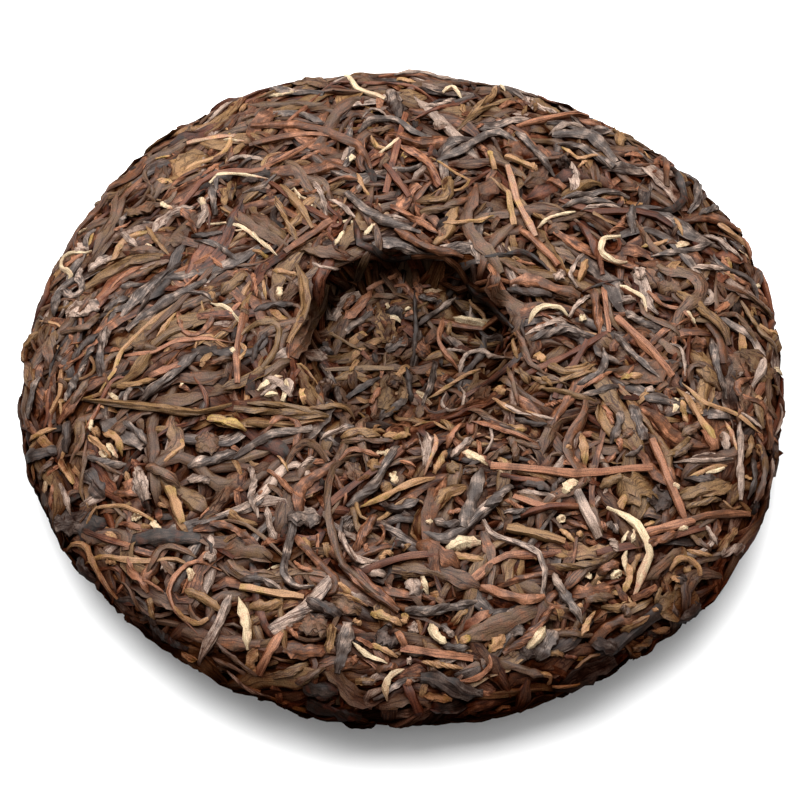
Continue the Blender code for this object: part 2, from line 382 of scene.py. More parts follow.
def flowHeading(a, b, fromTop):
    patch = noise.noise(Vector((a / flow["patch"], b / flow["patch"], 0.0 if fromTop else 5.0)))
    away, angle = math.hypot(a, b), math.atan2(b, a)
    out = away / section["equator"]
    pulls = [(1.0, fullTurn * patch * flow["patchTurn"])]
    pulls.append((flow["rimPull"] * min(out, flow["rimMost"]) ** flow["rimPower"], angle + math.pi / 2))
    if fromTop:
        outX, outY = a - dimple["centre"][0], b - dimple["centre"][1]
        ring = math.hypot(outX, outY) / dimple["rimRadius"]
        far = 0.5 + 0.5 * outY / max(math.hypot(outX, outY), tiny)
        pull = flow["ringPull"] * far * math.exp(-((ring - flow["ringPlace"]) / flow["ringWidth"]) ** 2)
        pulls.append((pull, math.atan2(outY, outX) + math.pi / 2))
        left = float(smoothShare(-a, *flow["leftStart"])) * (1 - min(out, 1) ** flow["leftPower"])
        pulls.append((flow["leftPull"] * left, flow["leftSlant"]))
    east = sum(pull * math.cos(2 * way) for pull, way in pulls)
    north = sum(pull * math.sin(2 * way) for pull, way in pulls)
    return math.atan2(north, east) / 2  # a leaf lies the same either way round


def drawName(shares):
    chances = np.array(list(shares.values()), float)
    return str(draw.choice(list(shares), p=chances / chances.sum()))


def between(limits):
    return mix(*limits, draw.random())


def bySize(limits, size, shares):
    return mix(*limits, shares[0] * size + shares[1] * draw.random())


def makeLeaf(kind, tones=None, **chosen):  # a leaf's own sizes, before it has a place
    like = leafKinds[kind]
    size = draw.random()  # long leaves are mostly wide ones
    width = bySize(like["width"], size, variety["widthBySize"])
    tone = toneNames.index(drawName(tones or like["tones"]))
    limit = variety["ridgeLimit"]
    leaf = {
        "kind": kind,
        "length": bySize(like["length"], size, variety["lengthBySize"]),
        "width": width,
        "thickness": between(like["thickness"]),
        "bend": like["bend"] * draw.normal() * variety["turns"],
        "wander": like["wander"] * draw.normal(),
        "hook": (draw.random() < like["hook"]) * draw.choice([-1, 1]) * draw.uniform(*variety["hookTurn"]),
        "ends": (between(like["ends"]), between(like["ends"])),
        "spin": like["spin"] * draw.normal() * variety["turns"],
        "phase": draw.uniform(0, fullTurn, 4),
        "sink": between(laying["sink"]),
        "roll": draw.normal() * variety["roll"],
        "ridges": np.clip(draw.normal(size=like["sides"]), -limit, limit) * like["ridge"],
        "tone": (tone + draw.uniform(-variety["tone"], variety["tone"])) / (len(toneNames) - 1),
        "drift": draw.normal() * variety["drift"],
        "wrinkled": draw.uniform(*variety["wrinkled"]),
        "shade": float(np.clip(draw.normal(1.0, variety["shade"]), *variety["shadeLimits"])),
    }
    leaf.update(chosen)
    return leaf


def leafRoute(leaf, a, b, heading):  # its middle line as chart points
    steps = max(charts["leastSteps"], int(leaf["length"] / charts["routeStep"]))
    share = (np.arange(steps) + 0.5) / steps
    turn = leaf["bend"] * (share - 0.5) + leaf["wander"] * np.sin(fullTurn * share + leaf["phase"][0])
    turn += leaf["hook"] * np.maximum(share - variety["hookStart"], 0) / (1 - variety["hookStart"])
    step = leaf["length"] / steps
    course = np.column_stack([np.cos(heading + turn), np.sin(heading + turn)]) * step
    route = np.concatenate([[[0, 0]], np.cumsum(course, axis=0)])
    route -= route[len(route) // 2]
    away = math.hypot(a, b)
    if away > charts["middle"]:  # the chart is wider than the surface, towards its edge
        out = np.array([a, b]) / away
        side = np.array([-out[1], out[0]])
        real = float(np.interp(away, section["along"], section["radius"]))
        across = np.outer(route @ side, side) * away / max(real, charts["middle"])
        route = np.outer(route @ out, out) + across
    return route + [a, b]


def widthProfile(leaf, share):
    (first, last), (startTaper, endTaper) = leaf["ends"], variety["tapers"]
    start = first + (1 - first) * smoothShare(share, 0, startTaper)
    end = last + (1 - last) * smoothShare(1 - share, 0, endTaper)
    uneven = 1
    for (depth, turns), phase in zip(variety["waves"], leaf["phase"][1:]):
        uneven += depth * np.sin(turns * share + phase)
    return start * end * uneven


def smoothRun(values, reach):
    if reach < 1:
        return values
    kernel = np.hanning(2 * reach + 3)[1:-1]
    padded = np.pad(values, reach, mode="edge")
    return np.convolve(padded, kernel / kernel.sum(), mode="valid")


def unit(vectors):
    return vectors / np.maximum(np.linalg.norm(vectors, axis=1, keepdims=True), tiny)


def sideways(route):  # to the left of the way that a route runs in
    ahead = unit(np.gradient(route, axis=0))
    return np.column_stack([-ahead[:, 1], ahead[:, 0]])


def layLeaf(chart, leaf, route):  # on what already lies there
    side = sideways(route)
    share = np.linspace(0, 1, len(route))
    half = leaf["width"] / 2 * widthProfile(leaf, share)
    across = np.linspace(-1, 1, max(3, int(leaf["width"] / laying["acrossStep"]) | 1))
    places = route[:, None, :] + side[:, None, :] * (half[:, None] * across)[:, :, None]
    i, j = chartCells(chart, places.reshape(-1, 2)).T
    under = chart["relief"][i, j].reshape(len(route), -1)
    onMean, onHighest = laying["bed"]
    bed = onMean * under.mean(axis=1) + onHighest * under.max(axis=1)
    stiff = leafKinds[leaf["kind"]]["stiff"]
    bed = smoothRun(bed, int(2 + stiff * len(route) / 2))
    start = laying["droopStart"]
    ends = smoothShare(share, start, 0) + smoothShare(share, 1 - start, 1)
    droop = laying["droop"] * leaf["thickness"] * ends
    bottom = bed - leaf["sink"] * leaf["thickness"] - droop
    crown = mix(laying["sideHeight"], 1, np.sqrt(1 - laying["crownCurve"] * across**2))
    top = (bottom[:, None] + leaf["thickness"] * crown).ravel()
    order = np.argsort(top)
    i, j, top = i[order], j[order], top[order]
    higher = top > chart["relief"][i, j]
    chart["relief"][i[higher], j[higher]] = top[higher]
    chart["owner"][i[higher], j[higher]] = len(chart["leaves"])
    leaf["route"], leaf["level"] = route, bottom + leaf["thickness"] / 2
    chart["leaves"].append(leaf)


def lowestPlace(chart, choices):
    best = None
    for _ in range(choices):
        away = chart["reach"] * math.sqrt(draw.random())
        angle = draw.uniform(0, fullTurn)
        place = np.array([[away * math.cos(angle), away * math.sin(angle)]])
        around = place + np.array([[0, 0], [1, 0], [-1, 0], [0, 1], [0, -1]]) * laying["lookRound"]
        i, j = chartCells(chart, around).T
        level = chart["relief"][i, j].mean()
        if best is None or level < best[0]:
            best = (level, place[0])
    return best[1]


def fillChart(chart, leaves, crumbs):
    for _ in range(leaves):
        a, b = lowestPlace(chart, laying["choices"])
        away = math.hypot(a - dimple["centre"][0], b - dimple["centre"][1])
        hollow = chart["fromTop"] and away < dimple["floorRadius"]
        kind = drawName(laying["hollowShares" if hollow else "shares"])
        leaf = makeLeaf(kind, laying["hollowTones"] if hollow else None)
        if hollow:
            for size in ("length", "width", "thickness"):
                leaf[size] *= laying["hollowSize"]
        heading = flowHeading(a, b, chart["fromTop"]) + draw.normal() * flow["spread"]
        heading += math.pi * draw.integers(2)
        layLeaf(chart, leaf, leafRoute(leaf, a, b, heading))
    for _ in range(crumbs):
        leaf = makeLeaf("crumbs")
        a, b = lowestPlace(chart, 2 * laying["choices"])
        layLeaf(chart, leaf, leafRoute(leaf, a, b, draw.uniform(0, fullTurn)))


# Single leaves that stand out in the photograph: tone, width and route, in its pixels
shownLeaves = {
    "stems": (
        ("russet", 9, (488, 466), (579, 474), (654, 465)),
        ("russet", 8, (653, 437), (668, 478), (686, 520)),
        ("midBrown", 8, (684, 524), (705, 516), (752, 515)),
        ("greyBrown", 10, (577, 490), (587, 514), (599, 538)),
        ("peach", 8, (506, 163), (518, 204), (537, 237)),
        ("russet", 8, (520, 229), (559, 266)),
        ("tan", 7, (507, 192), (515, 226)),
        ("cream", 7, (346, 75), (357, 89), (385, 100)),
        ("russet", 9, (617, 315), (644, 344), (672, 377)),
        ("tan", 11, (168, 487), (181, 524)),
        ("russet", 8, (400, 649), (438, 653), (476, 659)),
        ("darkRusset", 9, (406, 680), (423, 718)),
        ("russet", 9, (282, 631), (270, 655), (259, 677)),
        ("russet", 8, (516, 126), (550, 119), (592, 111)),
        ("oliveTan", 11, (505, 528), (536, 534), (567, 541)),
        ("tan", 8, (238, 587), (272, 593), (306, 597)),
        ("darkRusset", 8, (384, 163), (410, 198)),
        ("midBrown", 8, (284, 253), (314, 234), (331, 220)),
        ("russet", 7, (512, 494), (539, 508), (578, 506)),
        ("darkRusset", 7, (81, 529), (106, 540), (131, 548)),
        ("peach", 6, (186, 144), (236, 134)),
        ("russet", 9, (642, 534), (668, 528), (694, 520)),
        ("russet", 9, (398, 631), (405, 647)),
        ("russet", 8, (632, 600), (646, 594), (659, 586)),
        ("russet", 5, (62, 267), (84, 254)),
        ("russet", 8, (148, 379), (181, 364)),
        ("russet", 7, (262, 168), (290, 156), (318, 141)),
        ("tan", 6, (490, 150), (494, 170)),
        ("tan", 6, (505, 155), (536, 170)),
        ("russet", 8, (548, 176), (566, 188)),
        ("russet", 6, (240, 300), (228, 318)),
        ("russet", 6, (603, 285), (606, 310), (608, 332)),
        ("russet", 5, (603, 403), (612, 418)),
        ("russet", 6, (366, 291), (384, 281), (398, 276)),
        ("russet", 6, (370, 404), (379, 386)),
        ("russet", 11, (704, 428), (716, 450)),
        ("darkRusset", 6, (498, 476), (520, 479), (545, 480)),
        ("darkRusset", 7, (520, 517), (550, 508), (580, 507)),
        ("russet", 8, (406, 681), (412, 686)),
    ),
    "strands": (
        ("tan", 6, (678, 377), (703, 403), (735, 413), (765, 435)),
        ("tan", 9, (678, 386), (695, 409), (717, 447)),
        ("cream", 7, (622, 237), (604, 239), (601, 253), (615, 265), (629, 263)),
        ("cream", 5, (611, 285), (626, 285), (644, 296), (648, 315)),
        ("tan", 5, (473, 297), (482, 311), (492, 332)),
        ("cream", 7, (528, 326), (534, 313), (546, 308), (558, 308), (568, 315)),
        ("cream", 5, (537, 228), (548, 217), (576, 211)),
        ("greyBrown", 5, (581, 211), (600, 205), (622, 207)),
        ("tan", 6, (174, 302), (152, 322), (121, 352), (114, 374), (98, 393)),
        ("tan", 5, (179, 309), (168, 324), (157, 338)),
        ("cream", 5, (210, 300), (229, 310), (243, 326)),
        ("russet", 5, (122, 355), (150, 355), (176, 341), (207, 337), (236, 341)),
        (
            "russet", 6, (222, 571), (201, 562), (186, 563), (175, 573), (170, 590),
            (174, 608), (188, 622), (199, 634),
        ),
        ("tan", 8, (438, 477), (418, 482), (397, 490), (378, 499), (361, 506)),
        ("cream", 8, (406, 668), (392, 673), (385, 685), (387, 701)),
        ("cream", 4, (210, 184), (219, 174), (238, 174), (269, 177)),
        ("cream", 5, (206, 224), (226, 223), (243, 228), (264, 243), (282, 258)),
        ("cream", 4, (222, 140), (246, 140)),
        ("tan", 6, (179, 436), (184, 446), (160, 465)),
        ("tan", 5, (83, 527), (96, 507), (121, 505), (152, 519), (165, 534)),
        ("greyBrown", 6, (326, 196), (342, 206), (357, 218)),
        ("greyBrown", 4, (305, 258), (324, 270), (344, 269)),
        ("cream", 5, (364, 236), (377, 224)),
        ("cream", 5, (334, 246), (345, 229)),
        ("black", 4, (580, 289), (603, 283), (629, 278)),
        ("russet", 6, (262, 466), (280, 480), (290, 492), (306, 503)),
        ("oliveTan", 6, (145, 224), (155, 243), (170, 256)),
        ("russet", 5, (114, 232), (131, 220)),
        ("midBrown", 5, (158, 203), (172, 184), (197, 168), (226, 158)),
        ("greyBrown", 6, (226, 160), (241, 156), (269, 160)),
        ("greyBrown", 7, (463, 360), (470, 352), (485, 350), (505, 356)),
        ("tan", 5, (428, 399), (452, 383), (480, 368)),
        ("greyBrown", 4, (446, 390), (441, 402), (449, 411), (462, 409), (466, 397), (458, 387)),
        ("russet", 7, (443, 315), (437, 338), (446, 356), (459, 370)),
        ("russet", 7, (457, 682), (476, 680), (490, 667), (488, 653)),
        ("tan", 6, (418, 661), (441, 666), (464, 670)),
        ("tan", 5, (550, 686), (565, 685), (580, 682)),
        ("cream", 6, (629, 526), (625, 538), (619, 546)),
        ("cream", 6, (626, 549), (623, 557), (627, 569), (629, 578)),
        ("oliveTan", 8, (621, 630), (634, 625), (650, 616)),
        ("tan", 6, (579, 637), (588, 624), (594, 613), (596, 608)),
        ("russet", 6, (207, 253), (224, 270)),
        ("tan", 7, (672, 571), (674, 562), (683, 557), (694, 561), (701, 571), (700, 583)),
        ("greyBrown", 6, (690, 268), (727, 270)),
        ("tan", 4, (430, 155), (440, 164), (472, 180), (460, 190), (438, 190), (430, 196)),
        ("cream", 4, (374, 156), (402, 138)),
        ("cream", 3, (232, 229), (245, 230)),
        ("russet", 5, (146, 263), (128, 272), (104, 295)),
        ("cream", 5, (144, 245), (154, 247)),
        ("greyBrown", 5, (206, 212), (197, 228)),
        ("cream", 6, (201, 195), (205, 208)),
        ("slate", 5, (278, 172), (262, 186), (240, 192)),
        ("russet", 5, (200, 176), (224, 160)),
        ("slate", 5, (236, 266), (215, 274), (205, 288)),
        ("slate", 5, (186, 293), (205, 292), (213, 301)),
        ("russet", 4, (200, 272), (181, 290)),
        ("oliveTan", 5, (218, 206), (240, 222)),
        ("russet", 5, (253, 270), (258, 297)),
        ("tan", 5, (262, 275), (265, 300)),
        ("tan", 7, (272, 268), (298, 276)),
        ("russet", 5, (300, 160), (320, 151)),
        ("greyBrown", 4, (362, 120), (370, 108), (382, 110), (388, 118)),
        ("darkRusset", 6, (410, 120), (440, 110), (480, 96)),
        ("cream", 5, (442, 92), (452, 86), (461, 100)),
        ("cream", 5, (500, 86), (504, 94)),
        ("tan", 6, (395, 80), (419, 84)),
        ("tan", 6, (440, 224), (460, 224), (480, 222), (495, 214)),
        ("tan", 5, (355, 172), (362, 184), (369, 196)),
        ("tan", 5, (560, 145), (580, 158), (600, 158)),
        ("tan", 4, (576, 166), (590, 159)),
        ("tan", 6, (530, 162), (538, 173)),
        ("tan", 5, (672, 217), (684, 236)),
        ("tan", 5, (642, 246), (660, 244), (672, 238)),
        ("tan", 4, (671, 276), (678, 266), (690, 270)),
        ("cream", 4, (683, 313), (697, 323)),
        ("greyBrown", 5, (668, 342), (680, 345), (685, 360), (684, 376)),
        ("russet", 4, (612, 371), (620, 378), (630, 372), (634, 362)),
        ("tan", 7, (620, 378), (645, 374)),
        ("oliveBrown", 4, (324, 328), (342, 340), (364, 352)),
        ("tan", 5, (237, 340), (247, 350), (236, 363)),
        ("cream", 6, (284, 374), (270, 380), (257, 390)),
        ("greyBrown", 5, (284, 378), (272, 388), (260, 397)),
        ("cream", 7, (287, 376), (285, 390), (283, 401)),
        ("greyBrown", 6, (288, 376), (292, 386), (290, 396)),
        ("tan", 4, (275, 455), (284, 460), (288, 472)),
        ("darkRusset", 3, (410, 287), (425, 285), (450, 277), (465, 280)),
        ("greyBrown", 3, (472, 300), (468, 315), (475, 325)),
        ("darkRusset", 5, (508, 335), (500, 350)),
        ("greyBrown", 4, (445, 349), (465, 352)),
        ("greyBrown", 6, (470, 353), (463, 360), (458, 376)),
        ("greyBrown", 5, (585, 253), (574, 262), (570, 275), (578, 287)),
        ("russet", 4, (514, 260), (536, 263)),
        ("umber", 6, (500, 262), (520, 272), (540, 276)),
        ("russet", 6, (583, 387), (600, 380), (614, 371)),
        ("oliveTan", 5, (562, 368), (580, 366), (590, 362)),
        ("oliveTan", 6, (540, 376), (552, 388)),
        ("russet", 6, (540, 406), (562, 402)),
        ("tan", 6, (492, 400), (508, 410), (548, 418)),
        ("oliveTan", 6, (513, 336), (516, 360)),
        ("umber", 6, (505, 365), (515, 395), (520, 405)),
        ("darkRusset", 5, (50, 385), (47, 404), (50, 417), (40, 432)),
        ("umber", 6, (83, 418), (84, 440), (70, 464)),
        ("umber", 5, (87, 440), (84, 466), (81, 490), (84, 506)),
        ("cream", 5, (92, 417), (89, 433)),
        ("cream", 4, (182, 380), (180, 388)),
        ("russet", 5, (55, 480), (52, 500), (53, 512)),
        ("greyBrown", 6, (58, 480), (66, 497), (70, 515)),
        ("umber", 5, (95, 463), (115, 472), (130, 475)),
        ("russet", 6, (292, 560), (300, 568), (318, 572)),
        ("slate", 5, (341, 515), (343, 540), (350, 555), (360, 560)),
        ("umber", 4, (245, 575), (262, 570), (280, 576)),
        ("russet", 4, (320, 530), (317, 555)),
        ("russet", 3, (215, 502), (200, 522)),
        ("midBrown", 5, (335, 475), (345, 495), (343, 506)),
        ("oliveTan", 6, (452, 322), (448, 336)),
        ("peach", 5, (434, 430), (436, 445), (431, 462), (424, 476)),
        ("tan", 8, (434, 474), (441, 462), (447, 446)),
        ("russet", 8, (446, 446), (450, 435), (456, 427), (466, 423)),
        ("russet", 6, (470, 421), (484, 424), (505, 431), (540, 442)),
        ("greyBrown", 4, (488, 424), (494, 437), (490, 447), (484, 455)),
        ("tan", 6, (380, 563), (385, 552), (394, 551)),
        ("greyBrown", 7, (340, 526), (345, 545), (358, 560), (380, 562)),
        ("russet", 6, (380, 456), (366, 452), (352, 449), (338, 462)),
        ("tan", 4, (408, 424), (425, 422), (440, 426), (450, 428)),
        ("russet", 5, (398, 462), (410, 465), (418, 467)),
        ("midBrown", 6, (377, 520), (386, 530), (380, 542), (373, 548)),
        ("greyBrown", 5, (500, 405), (520, 414), (553, 419)),
        ("slate", 5, (642, 444), (637, 454), (624, 455)),
        ("greyBrown", 6, (517, 490), (535, 494), (555, 499)),
        ("russet", 5, (503, 502), (515, 505), (525, 509)),
        ("tan", 5, (559, 525), (567, 534), (575, 543)),
        ("russet", 6, (600, 520), (606, 533)),
        ("cream", 4, (632, 526), (634, 538), (629, 546)),
        ("oliveTan", 6, (640, 553), (634, 565), (631, 578)),
        ("greyBrown", 5, (738, 413), (752, 420), (765, 430)),
        ("tan", 6, (681, 400), (684, 411), (690, 422)),
        ("peach", 4, (726, 418), (732, 433), (736, 452)),
        ("greyBrown", 4, (690, 457), (705, 453), (725, 455)),
        ("cream", 5, (704, 474), (718, 472), (726, 467)),
        ("greyBrown", 6, (705, 526), (711, 536), (717, 547)),
        ("tan", 6, (688, 547), (702, 552), (715, 556)),
        ("greyBrown", 5, (779, 402), (780, 418), (777, 436)),
        ("greyBrown", 6, (773, 455), (771, 482), (766, 505)),
        ("oliveTan", 4, (722, 500), (731, 508), (743, 504)),
        ("tan", 5, (744, 475), (750, 482)),
        ("tan", 8, (66, 554), (73, 545), (85, 544), (93, 560), (102, 580), (118, 600)),
        ("russet", 7, (128, 558), (131, 571), (142, 581), (148, 594)),
        ("oliveTan", 6, (149, 594), (151, 606), (155, 620)),
        ("russet", 4, (140, 578), (152, 583), (166, 594)),
        ("umber", 7, (147, 574), (152, 560), (160, 550), (172, 546), (186, 551), (196, 559)),
        ("tan", 6, (174, 606), (184, 618), (198, 624), (214, 616)),
        ("tan", 6, (181, 650), (190, 657), (198, 662)),
        ("tan", 6, (106, 561), (118, 564)),
        ("umber", 5, (209, 658), (232, 668), (255, 682)),
        ("umber", 6, (212, 640), (235, 660), (258, 676)),
        ("greyBrown", 5, (225, 672), (245, 686), (271, 697)),
        ("russet", 6, (284, 625), (292, 631), (299, 639)),
        ("cream", 6, (351, 639), (360, 652), (372, 658), (388, 663)),
        ("tan", 6, (351, 617), (362, 624)),
        ("russet", 6, (356, 636), (368, 645), (380, 652)),
        ("cream", 6, (420, 574), (424, 583), (428, 595)),
        ("tan", 6, (368, 645), (384, 650), (400, 658)),
        ("tan", 5, (537, 671), (551, 676), (548, 686)),
        ("greyBrown", 4, (506, 613), (515, 608)),
        ("oliveBrown", 5, (654, 606), (659, 596), (660, 585)),
        ("tan", 9, (628, 562), (630, 576), (623, 592)),
        ("darkRusset", 4, (564, 655), (578, 657)),
        ("tan", 6, (576, 606), (585, 604)),
    ),
    "buds": (
        ("cream", 12, (605, 504), (637, 521), (650, 554), (633, 596)),
        ("cream", 10, (237, 595), (245, 622), (249, 652)),
        ("tan", 8, (57, 457), (66, 470), (74, 484)),
        ("cream", 12, (562, 496), (570, 487), (578, 480)),
        ("cream", 9, (526, 652), (538, 638), (546, 624)),
        ("tan", 8, (423, 697), (454, 701)),
        ("cream", 8, (611, 580), (618, 573), (623, 569)),
        ("tan", 7, (28, 443), (57, 427)),
        ("cream", 7, (269, 96), (297, 92)),
        ("tan", 8, (88, 437), (103, 446), (110, 458)),
        ("tan", 8, (102, 430), (118, 440), (122, 455)),
        ("cream", 6, (226, 353), (238, 350)),
        ("cream", 6, (160, 204), (174, 208)),
        ("tan", 8, (578, 281), (587, 259)),
        ("greyBrown", 8, (264, 378), (280, 384), (292, 396)),
        ("cream", 6, (262, 396), (278, 393)),
        ("cream", 7, (345, 163), (357, 155)),
        ("cream", 7, (279, 285), (279, 298)),
        ("cream", 6, (80, 235), (88, 228)),
        ("cream", 5, (404, 311), (411, 306)),
        ("cream", 4, (386, 300), (389, 309)),
        ("tan", 10, (535, 352), (546, 364)),
        ("cream", 8, (577, 320), (589, 319)),
        ("cream", 6, (105, 440), (118, 458)),
        ("cream", 7, (97, 450), (108, 458)),
        ("cream", 7, (130, 520), (142, 516)),
        ("cream", 7, (150, 518), (163, 533)),
        ("cream", 7, (186, 566), (191, 574), (189, 584)),
        ("tan", 6, (335, 583), (352, 594)),
        ("tan", 7, (756, 395), (762, 402)),
        ("tan", 6, (766, 330), (778, 337)),
        ("cream", 5, (755, 289), (760, 286)),
        ("tan", 6, (358, 358), (350, 372)),
        ("cream", 7, (425, 520), (432, 525)),
        ("cream", 4, (376, 453), (386, 453)),
        ("cream", 8, (392, 470), (396, 484)),
        ("cream", 6, (392, 448), (384, 458)),
        ("tan", 6, (566, 451), (573, 445)),
        ("cream", 9, (557, 519), (566, 514)),
        ("tan", 7, (577, 530), (584, 537)),
        ("cream", 6, (672, 484), (681, 490)),
        ("cream", 6, (676, 533), (689, 527)),
        ("tan", 5, (644, 524), (656, 520)),
        ("oliveTan", 7, (684, 570), (692, 568)),
        ("tan", 7, (671, 575), (681, 584)),
        ("cream", 5, (337, 677), (341, 682)),
        ("cream", 10, (430, 622), (435, 633), (446, 643)),
        ("tan", 8, (458, 643), (473, 639)),
        ("tan", 11, (489, 651), (497, 642), (505, 633)),
        ("cream", 6, (584, 574), (594, 578)),
        ("oliveBrown", 7, (632, 657), (640, 652)),
        ("tan", 5, (652, 612), (658, 610)),
        ("tan", 8, (406, 612), (403, 624)),
    ),
    "wideTwists": (
        ("slate", 12, (421, 531), (442, 539), (463, 529), (492, 504), (511, 485)),
        ("slate", 14, (484, 466), (477, 488), (469, 508), (462, 528)),
        ("slate", 10, (404, 611), (434, 613), (457, 605), (480, 600)),
        ("midBrown", 12, (250, 125), (284, 125), (319, 129), (360, 146), (372, 170)),
        ("slate", 12, (346, 191), (365, 210), (388, 224), (422, 232)),
        ("midBrown", 10, (393, 229), (422, 246), (464, 256)),
        ("slate", 10, (681, 170), (698, 183), (696, 204), (687, 215)),
        ("slate", 14, (550, 133), (589, 137), (618, 163)),
        ("midBrown", 10, (594, 285), (597, 310), (600, 335)),
        ("slate", 12, (136, 402), (164, 381), (200, 350)),
        ("greyBrown", 10, (232, 593), (215, 630), (198, 666)),
        ("slate", 14, (349, 620), (343, 645), (337, 675)),
        ("greyBrown", 14, (334, 574), (312, 603), (290, 616), (268, 632)),
        ("darkSlate", 13, (86, 469), (103, 500)),
        ("greyBrown", 15, (136, 469), (146, 500)),
        ("black", 15, (127, 541), (155, 536), (200, 539)),
        ("darkSlate", 14, (22, 462), (40, 456), (57, 450)),
        ("slate", 12, (121, 318), (146, 292), (181, 260)),
        ("slate", 11, (124, 330), (172, 298), (207, 279)),
        ("darkSlate", 14, (418, 679), (432, 677), (446, 685), (462, 694), (484, 692)),
        ("umber", 10, (564, 590), (584, 571), (616, 552)),
        ("umber", 10, (584, 602), (616, 594)),
        ("slate", 10, (484, 510), (497, 500), (514, 483)),
        ("oliveBrown", 15, (83, 400), (138, 407), (198, 415), (232, 403)),
        ("slate", 11, (398, 444), (385, 468), (378, 482), (362, 494), (347, 507)),
        ("oliveTan", 10, (38, 332), (26, 348), (22, 362)),
        ("umber", 14, (56, 330), (50, 345), (47, 370)),
        ("slate", 10, (106, 325), (102, 350), (101, 378)),
        ("russet", 10, (398, 143), (420, 155), (433, 172), (441, 188)),
        ("slate", 11, (436, 162), (466, 148), (486, 134), (502, 130), (519, 142)),
        ("umber", 10, (470, 198), (445, 208), (418, 214)),
        ("slate", 10, (556, 140), (580, 148), (600, 160), (615, 170)),
        ("slate", 10, (632, 205), (630, 222), (634, 236)),
        ("midBrown", 13, (508, 282), (532, 281), (556, 289), (582, 294)),
        ("darkSlate", 10, (505, 289), (530, 292), (552, 295)),
        ("darkSlate", 10, (66, 416), (68, 436), (64, 452)),
        ("slate", 10, (232, 460), (250, 445), (272, 434), (312, 427)),
        ("slate", 12, (186, 464), (212, 460), (238, 452)),
        ("slate", 10, (346, 514), (353, 532)),
        ("oliveTan", 10, (182, 588), (204, 598), (222, 612)),
        ("umber", 10, (145, 465), (165, 478), (180, 490)),
        ("umber", 10, (487, 460), (500, 452), (512, 446)),
        ("darkSlate", 10, (382, 505), (397, 509), (409, 505), (420, 498)),
        ("midBrown", 10, (377, 512), (366, 530), (354, 551)),
        ("oliveTan", 10, (340, 436), (360, 432), (382, 435)),
        ("slate", 10, (622, 410), (619, 424), (611, 442)),
        ("slate", 10, (632, 402), (637, 424), (643, 443)),
        ("oliveBrown", 10, (598, 488), (614, 480), (626, 475)),
        ("midBrown", 10, (598, 575), (612, 566), (622, 560)),
        ("umber", 12, (680, 437), (692, 428), (706, 420)),
        ("midBrown", 10, (640, 548), (665, 538), (680, 532)),
        ("greyBrown", 10, (722, 557), (733, 550), (744, 544)),
        ("greyBrown", 10, (680, 396), (695, 405)),
        ("darkSlate", 12, (78, 556), (88, 576), (96, 584)),
        ("oliveTan", 10, (246, 604), (266, 606), (286, 603)),
        ("darkSlate", 12, (306, 600), (325, 608), (343, 617)),
        ("russet", 10, (352, 562), (372, 588), (399, 613)),
        ("russet", 12, (480, 588), (504, 594), (528, 600), (546, 597)),
        ("slate", 14, (535, 660), (545, 645), (557, 628)),
        ("darkSlate", 12, (676, 622), (690, 612), (702, 600)),
        ("darkSlate", 10, (676, 582), (688, 576)),
        ("black", 14, (305, 704), (330, 712), (362, 716)),
        ("tan", 9, (371, 610), (386, 618), (404, 626)),
    ),
    "narrowTwists": (
        ("greyBrown", 8, (484, 517), (491, 536), (515, 543), (541, 552), (547, 571), (544, 594)),
        ("slate", 9, (553, 573), (565, 598), (582, 623)),
        ("midBrown", 9, (503, 653), (534, 636), (553, 605)),
        ("slate", 9, (357, 132), (369, 120), (393, 120), (414, 134), (433, 137)),
        ("russet", 9, (389, 205), (415, 220), (439, 234)),
        ("oliveTan", 9, (276, 196), (290, 224), (298, 241)),
        ("black", 8, (670, 165), (683, 185), (683, 200), (672, 213), (648, 211)),
        ("slate", 7, (720, 205), (696, 218)),
        ("slate", 8, (561, 200), (604, 189), (631, 196)),
        ("darkRusset", 9, (576, 220), (592, 244), (605, 274)),
        ("black", 7, (482, 257), (502, 255), (520, 250), (537, 257), (550, 270)),
        ("oliveTan", 7, (528, 373), (545, 381), (560, 382), (597, 372)),
        ("midBrown", 9, (349, 546), (341, 562), (370, 593), (399, 612)),
        (
            "umber", 9, (380, 455), (357, 451), (336, 463), (326, 488), (328, 522),
            (341, 562), (370, 593), (399, 612),
        ),
        ("slate", 8, (295, 517), (286, 545), (284, 574), (295, 587), (316, 585)),
        ("slate", 9, (403, 610), (429, 612), (450, 606)),
        ("greyBrown", 8, (200, 196), (207, 210), (198, 229)),
        ("slate", 8, (213, 184), (215, 215)),
        ("greyBrown", 9, (86, 272), (114, 255)),
        ("midBrown", 7, (179, 206), (195, 232)),
        ("umber", 8, (496, 659), (524, 672), (551, 676)),
        ("oliveBrown", 9, (551, 565), (582, 567), (610, 556)),
        ("slate", 8, (607, 519), (620, 533)),
        ("darkSlate", 9, (346, 397), (362, 388), (380, 376)),
        ("greyBrown", 6, (672, 461), (704, 461), (735, 459)),
        ("tan", 6, (691, 477), (711, 468), (732, 464)),
        ("greyBrown", 8, (741, 420), (740, 460), (742, 502)),
        ("oliveBrown", 9, (232, 408), (270, 414), (330, 417)),
        ("black", 9, (355, 217), (361, 245), (383, 258), (411, 255)),
        ("black", 8, (464, 276), (492, 304), (513, 329)),
        ("slate", 7, (417, 326), (437, 311), (457, 295)),
        ("darkSlate", 6, (414, 289), (415, 336), (411, 367)),
        ("tan", 9, (581, 433), (584, 450), (586, 467)),
        ("greyBrown", 8, (122, 231), (130, 240), (137, 248)),
        ("slate", 7, (192, 240), (214, 242), (230, 252), (240, 264)),
        ("darkSlate", 8, (190, 236), (225, 232)),
        ("greyBrown", 7, (312, 178), (320, 195), (327, 216)),
        ("darkSlate", 8, (296, 303), (270, 305), (252, 312)),
        ("darkSlate", 8, (100, 335), (85, 345), (70, 362)),
